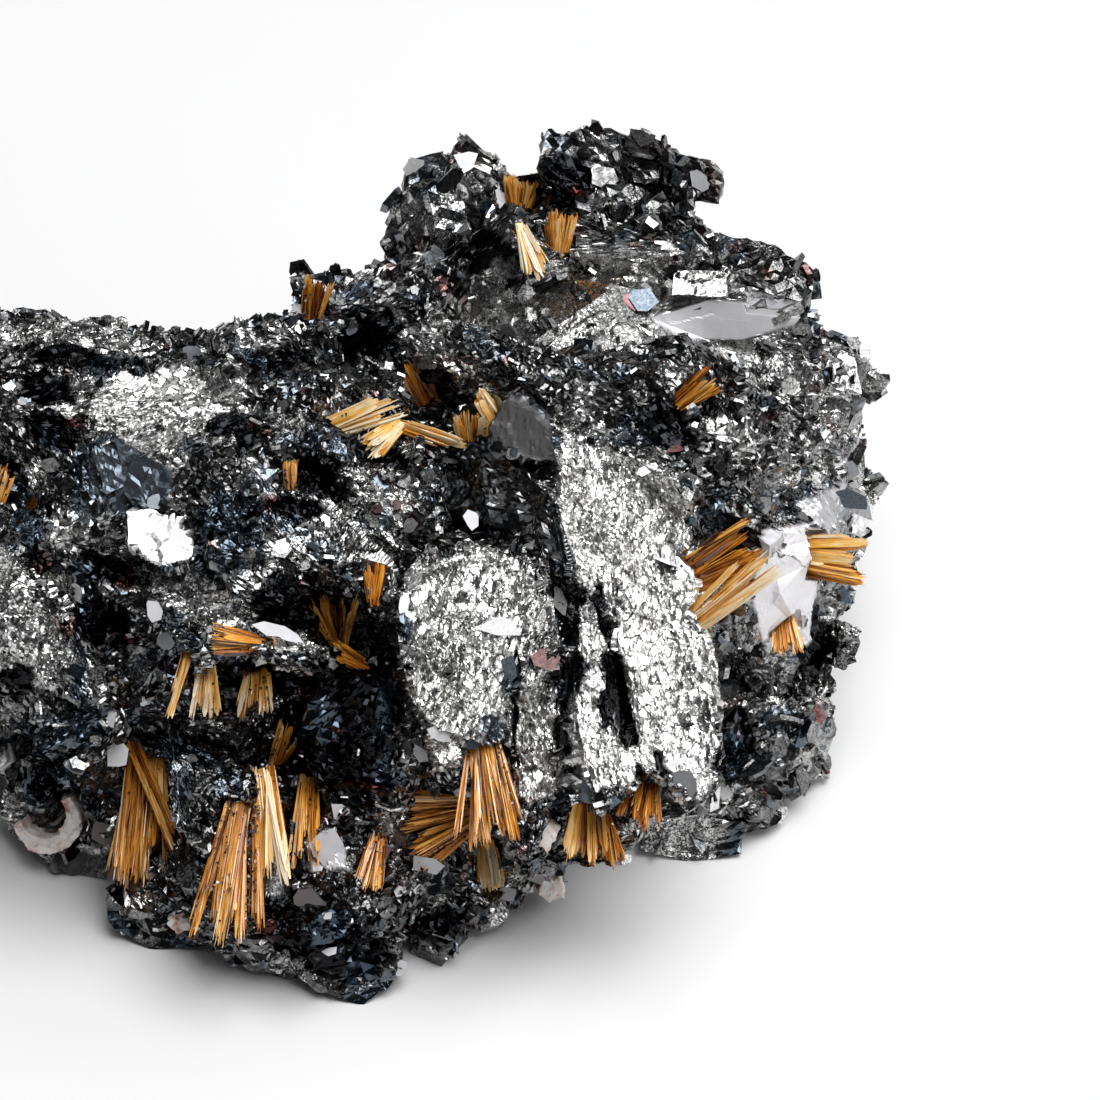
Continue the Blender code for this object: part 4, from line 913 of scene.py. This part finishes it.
# How the sheaves look: tone from deep orange-brown (0) to pale straw (1), needle width in mm, the share of
# needles that break off short, and how many dark grains have grown on the sheaf's front.
SHEAF_LOOKS = {
    "cavity_blade": (0.86, 0.110, 0.2, 6),
    "cavity_pale_fan": (0.84, 0.100, 0.2, 6),
    "cavity_long_blade": (0.62, 0.080, 0.2, 0),
    "cavity_comb": (0.74, 0.090, 0.3, 4),
    "cavity_strands": (0.30, 0.060, 0.3, 0),
    "facet_blade": (0.80, 0.100, 0.2, 0),
    "right_brown_bundle": (0.36, 0.062, 0.4, 20),
    "right_pale_bundle": (0.84, 0.090, 0.3, 10),
    "back_fan": (0.84, 0.090, 0.2, 0),
    "back_gold_sheaf": (0.46, 0.080, 0.3, 0),
    "crown_gold_sheaf": (0.58, 0.080, 0.3, 0),
    "crest_brown_sheaf": (0.38, 0.070, 0.3, 0),
    "ledge_fan": (0.40, 0.062, 0.4, 16),
    "ledge_blade": (0.36, 0.060, 0.3, 6),
    "hollow_pale_tuft": (0.74, 0.066, 0.6, 20),
    "hollow_gold_tuft": (0.60, 0.066, 0.6, 30),
    "hollow_needles": (0.74, 0.060, 0.3, 0),
    "middle_spray": (0.42, 0.062, 0.5, 30),
    "middle_tuft": (0.38, 0.062, 0.3, 6),
    "left_great_sheaf": (0.44, 0.072, 0.35, 30),
    "left_cross_needles": (0.54, 0.070, 0.2, 30),
    "front_great_sheaf": (0.47, 0.070, 0.5, 260),
    "front_pale_sheaf": (0.80, 0.080, 0.35, 16),
    "front_dull_sheaf": (0.50, 0.066, 0.4, 40),
    "front_upright_tuft": (0.46, 0.062, 0.4, 20),
    "wall_dull_sheaf": (0.46, 0.066, 0.4, 20),
    "wall_great_fan": (0.37, 0.066, 0.5, 50),
    "middle_great_sheaf": (0.42, 0.066, 0.55, 70),
    "middle_peach_tuft": (0.84, 0.100, 0.2, 10),
    "lip_fan": (0.52, 0.072, 0.45, 20),
    "lip_brown_bundle": (0.32, 0.072, 0.3, 20),
    "right_gold_tuft": (0.52, 0.080, 0.2, 0),
    "right_peach_tile": (0.74, 0.120, 0.1, 0),
}
PLAIN_LOOK = (0.50, 0.080, 0.35, 30)
ROOT_REACH = 0.45 * MM  # how far needles go on past the root of their CAD wedge, into the hematite


def wedge_axes(name):
    """The root, the axes, the length, the half-widths and the half-thickness of a sheaf's CAD wedge.

    The thickness runs along the normal of the largest face. The root is the pair of outline corners from
    whose line all the others lie farthest, as a share of the farthest one.
    """
    points, triangles = merged_node(name)
    a, b, c = (points[triangles[:, i]] for i in range(3))
    crosses = np.cross(b - a, c - a)
    normal = unit(crosses[length_of(crosses)[:, 0].argmax()])
    depth = points @ normal
    front = points[depth > depth.mean()]
    first, second = np.triu_indices(len(front), 1)
    along = np.cross(unit(front[second] - front[first]), normal)
    reach = np.einsum("ijk,ik->ij", front[None] - front[first][:, None], along)
    along[reach.sum(axis=1) < 0] *= -1
    reach = np.abs(reach) * np.sign(np.where(reach.sum(axis=1) < 0, -1, 1))[:, None] * np.sign(reach)
    others = np.array([np.delete(row, (i, j)).min() for row, i, j in zip(reach, first, second)])
    pick = (others / reach.max(axis=1)).argmax()
    ends = front[first[pick]], front[second[pick]]
    thickness = np.ptp(depth)
    along = along[pick]
    side = np.cross(along, normal)
    root = (ends[0] + ends[1]) / 2 - normal * thickness / 2
    flat = (front - root) @ side
    far = (front - root) @ along > 0.5 * reach[pick].max()
    halves = abs(flat[~far]).max(), abs(flat[far]).max(), thickness / 2
    return root, side, along, normal, reach[pick].max(), *halves


def needles(starts, ends, sides, normals, widths, thicknesses, bend):
    """Four-sided needles from start to end: rings along a slightly bent line, narrowed at the tip.

    Also returns each point's place in its needle's own frame: round it, through it and along it, in widths.
    """
    stations = np.array((0.0, 0.45, 0.88, 1.0))
    swell = np.array((1.0, 1.0, 0.9, 0.3))
    line = starts[:, None] + (ends - starts)[:, None] * stations[:, None]
    line = line + (bend[:, None] * normals)[:, None] * (np.sin(stations * math.pi))[:, None]
    corners = np.array(((1, 1), (-1, 1), (-1, -1), (1, -1))) * 0.5
    wide = widths[:, None, None] * swell[:, None] * corners[:, 0]
    deep = thicknesses[:, None, None] * swell[:, None] * corners[:, 1]
    around = sides[:, None, None] * wide[..., None] + normals[:, None, None] * deep[..., None]
    points = line[:, :, None] + around
    count, rings, round_it = points.shape[:3]
    grid = np.arange(count * rings * round_it).reshape(count, rings, round_it)
    walls = walls_between(grid[:, :-1], grid[:, 1:])
    caps = np.concatenate((grid[:, 0, ::-1], grid[:, -1]))
    own = np.arange(count)[:, None, None] * 3.7
    along = length_of(ends - starts)[:, None] * stations[:, None] * np.ones(round_it) / (0.9 * MM)
    fibre = np.stack((own + wide / (0.05 * MM), deep / (0.05 * MM), along), axis=-1)
    return points.reshape(-1, 3), np.concatenate((walls, caps)), fibre.reshape(-1, 3), rings * round_it


def sheaf(name, look, materials, rng):
    """A sheaf that fills its CAD wedge: flat blades at the heart, and needles that fan out with them.

    Needles grow in bundles that share a lean, a tone and a length, so dark gaps run between them and the tips
    are ragged like a broken comb.
    """
    tone, width, short, grain_count = look
    root, side, along, normal, length, root_half, tip_half, half_depth = wedge_axes(name)
    if normal @ TOWARD < 0:
        side, normal = -side, -normal
    width *= MM
    breadth = root_half + tip_half
    fine = round(1.2 * breadth * max(half_depth, width) / (width * width))
    blades = round(breadth / (1.1 * width))
    count = fine + blades
    bundles = max(3, round(breadth / (2.4 * width)))
    bladed = np.arange(count) < blades
    bundle = rng.integers(0, bundles, count)
    spread = (bundle + 0.5 + 0.62 * rng.uniform(-1, 1, count)) * 2 / bundles - 1
    depth = rng.uniform(-1, 1, count)
    reach = rng.uniform(0.6, 1.0, bundles)[bundle] * rng.uniform(0.86, 1.0, count)
    reach = np.where(rng.random(count) < short * 0.6, reach * rng.uniform(0.45, 0.9, count), reach)
    begin = rng.uniform(-ROOT_REACH, 0.1 * length, count)
    stray = rng.normal(0, 0.02 + 0.10 * short, (bundles, 2))[bundle] + rng.normal(0, 0.018, (count, 2))

    def at(share, along_by):
        half = (root_half + (tip_half - root_half) * share) * (0.92 + 0.28 * share)
        flat = side * (spread * half + stray[:, 0] * along_by)[:, None]
        rise = normal * (depth * half_depth * 0.9 + stray[:, 1] * along_by)[:, None]
        return root + flat + rise + along * along_by[:, None]

    starts = at(begin / length, begin)
    ends = at(reach, reach * length)
    starts[:, 2] = np.maximum(starts[:, 2], 0.1 * MM)
    ends[:, 2] = np.maximum(ends[:, 2], 0.1 * MM)
    twist = rng.uniform(-0.5, 0.5, count)
    run = unit(ends - starts)
    sides = unit(np.cos(twist)[:, None] * side + np.sin(twist)[:, None] * normal)
    sides = unit(sides - run * (sides * run).sum(axis=1, keepdims=True))
    normals = np.cross(run, sides)
    widths = width * np.where(bladed, rng.uniform(2.2, 4.5, count), rng.uniform(0.45, 1.3, count))
    thick = width * np.where(bladed, rng.uniform(0.35, 0.6, count), rng.uniform(0.4, 0.9, count))
    bend = rng.normal(0, 0.010, count) * length
    points, polygons, fibre, each = needles(starts, ends, sides, normals, widths, thick, bend)
    # Each needle's tone varies at random, is painted lighter toward the viewer and darker deeper in the sheaf
    # as shade, and one needle in seven is much darker.
    shades = tone + rng.normal(0, 0.10, bundles)[bundle] + rng.normal(0, 0.09, count) + 0.08 * depth
    shades = np.where(rng.random(count) < 0.14, shades - 0.3, shades)
    along_share = np.clip((points - root) @ along / length, 0, 1)
    values = np.repeat(shades, each) + 0.24 * (along_share - 0.5)
    make_piece(
        name.replace("rutile_", "needles_"), points, polygons, materials["rutile"], "rutile",
        replaced=[name], attributes={"tone": np.clip(values, 0, 1), "fibre": fibre},
    )
    if grain_count:
        share = rng.beta(1.0, 2.0, grain_count)
        spread_out = rng.random(grain_count) < 0.5
        anywhere, at_edge = rng.uniform(-1, 1, grain_count), rng.uniform(-1, -0.6, grain_count)
        across = np.where(spread_out, anywhere, at_edge)
        half = root_half + (tip_half - root_half) * share
        places = root + side * (across * half)[:, None] + along * (share * length)[:, None]
        places = places + normal * (half_depth * rng.uniform(0.8, 1.1, grain_count))[:, None]
        axes = unit(normal + rng.normal(0, 0.7, (grain_count, 3)))
        values = {
            "shine": np.where(rng.random(grain_count) < 0.12, 0.9, 0.05),
            "grain": np.full(grain_count, 0.1),
            "blue": np.zeros(grain_count),
            "rust": np.where(rng.random(grain_count) < 0.5, 0.7, 0),
            "matte": np.full(grain_count, 0.2),
        }
        sizes = rng.uniform(0.03, 0.10, grain_count) * MM
        grains = name.replace("rutile_", "grains_")
        tabular_crystals(grains, places, axes, sizes, values, materials["hematite"], rng)


def rutile_sheaves(materials, rng):
    """Every sheaf in the order of the names, so that each gets the same random needles every time."""
    for name in sorted(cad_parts):
        if name.startswith("rutile_"):
            sheaf(name, SHEAF_LOOKS.get(name.removeprefix("rutile_"), PLAIN_LOOK), materials, rng)


# The feldspar


def feldspar_pieces(material):
    """The feldspar's solids with a cleaved surface: small flat faces of random slope."""
    for name in sorted(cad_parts):
        if name.startswith("feldspar_"):
            points, triangles = merged_node(name)
            points, triangles, _ = refine(points, triangles, lambda middles: 0.16 * MM)
            normals = corner_normals(points, triangles)
            height = facets(points, 0.7 * MM, 0.22, 0.04 * MM, 51)
            height += facets(points, 0.3 * MM, 0.2, 0.015 * MM, 52)
            points = points + normals * height[:, None]
            make_piece(name + "_cleaved", points, triangles, material, "feldspar", replaced=[name])


# The studio


def studio():
    """The white board, four soft lights and a dim gray surround."""
    floor = bpy.data.meshes.new("floor")
    half = 1.5
    corners = [(-half, -half, 0), (half, -half, 0), (half, half, 0), (-half, half, 0)]
    floor.from_pydata(corners, [], [(0, 1, 2, 3)])
    floor.materials.append(floor_finish())
    board = bpy.data.objects.new("floor", floor)
    bpy.context.scene.collection.objects.link(board)
    area_light("key", (0.20, -0.12, 0.75), (0, 0, 0), (0.62, 0.54), 6.6)
    area_light("ceiling", (0.1, 0.1, 1.1), (0, 0, 0), (1.7, 1.5), 4.2)
    area_light("back_right", (0.85, 0.3, 0.5), (0, 0, 0.01), (0.4, 0.4), 2.4)
    area_light("right", (0.8, -0.55, 0.35), (0, 0, 0.01), (0.4, 0.4), 1.2)
    world = bpy.data.worlds.new("studio")
    world.use_nodes = True
    world.node_tree.nodes["Background"].inputs["Color"].default_value = (0.03, 0.03, 0.032, 1)
    bpy.context.scene.world = world
    bpy.context.scene.view_settings.view_transform = "Standard"


def area_light(name, place, target, size, power):
    light = bpy.data.lights.new(name, "AREA")
    light.shape = "RECTANGLE"
    light.size, light.size_y = size
    light.energy = power
    lamp = bpy.data.objects.new(name, light)
    lamp.location = place
    lamp.rotation_mode = "QUATERNION"
    lamp.rotation_quaternion = (Vector(target) - Vector(place)).to_track_quat("-Z", "Y")
    bpy.context.scene.collection.objects.link(lamp)


def camera():
    """The photograph's camera: a long lens, 40 degrees above the floor, that sees 55 mm at the face."""
    data = bpy.data.cameras.new("camera")
    data.sensor_width = SENSOR_WIDTH
    data.lens = SENSOR_WIDTH * SIGHT_DISTANCE / FIELD_WIDTH
    data.clip_start = 0.01
    lens = bpy.data.objects.new("camera", data)
    turning = Matrix([list(row) for row in SIGHT_BASIS.T]).to_4x4()
    turning.translation = Vector(FACE_CENTRE + TOWARD * SIGHT_DISTANCE)
    lens.matrix_world = turning
    bpy.context.scene.collection.objects.link(lens)
    bpy.context.scene.camera = lens


def main():
    rng = np.random.default_rng(SEED)
    camera()
    metal = hematite_finish()
    skin = hematite_skin(metal)
    scatter_crystals(skin, metal, rng)
    single_crystals(skin, metal, rng)
    rutile_sheaves({"hematite": metal, "rutile": rutile_finish()}, rng)
    feldspar_pieces(feldspar_finish())
    studio()


main()
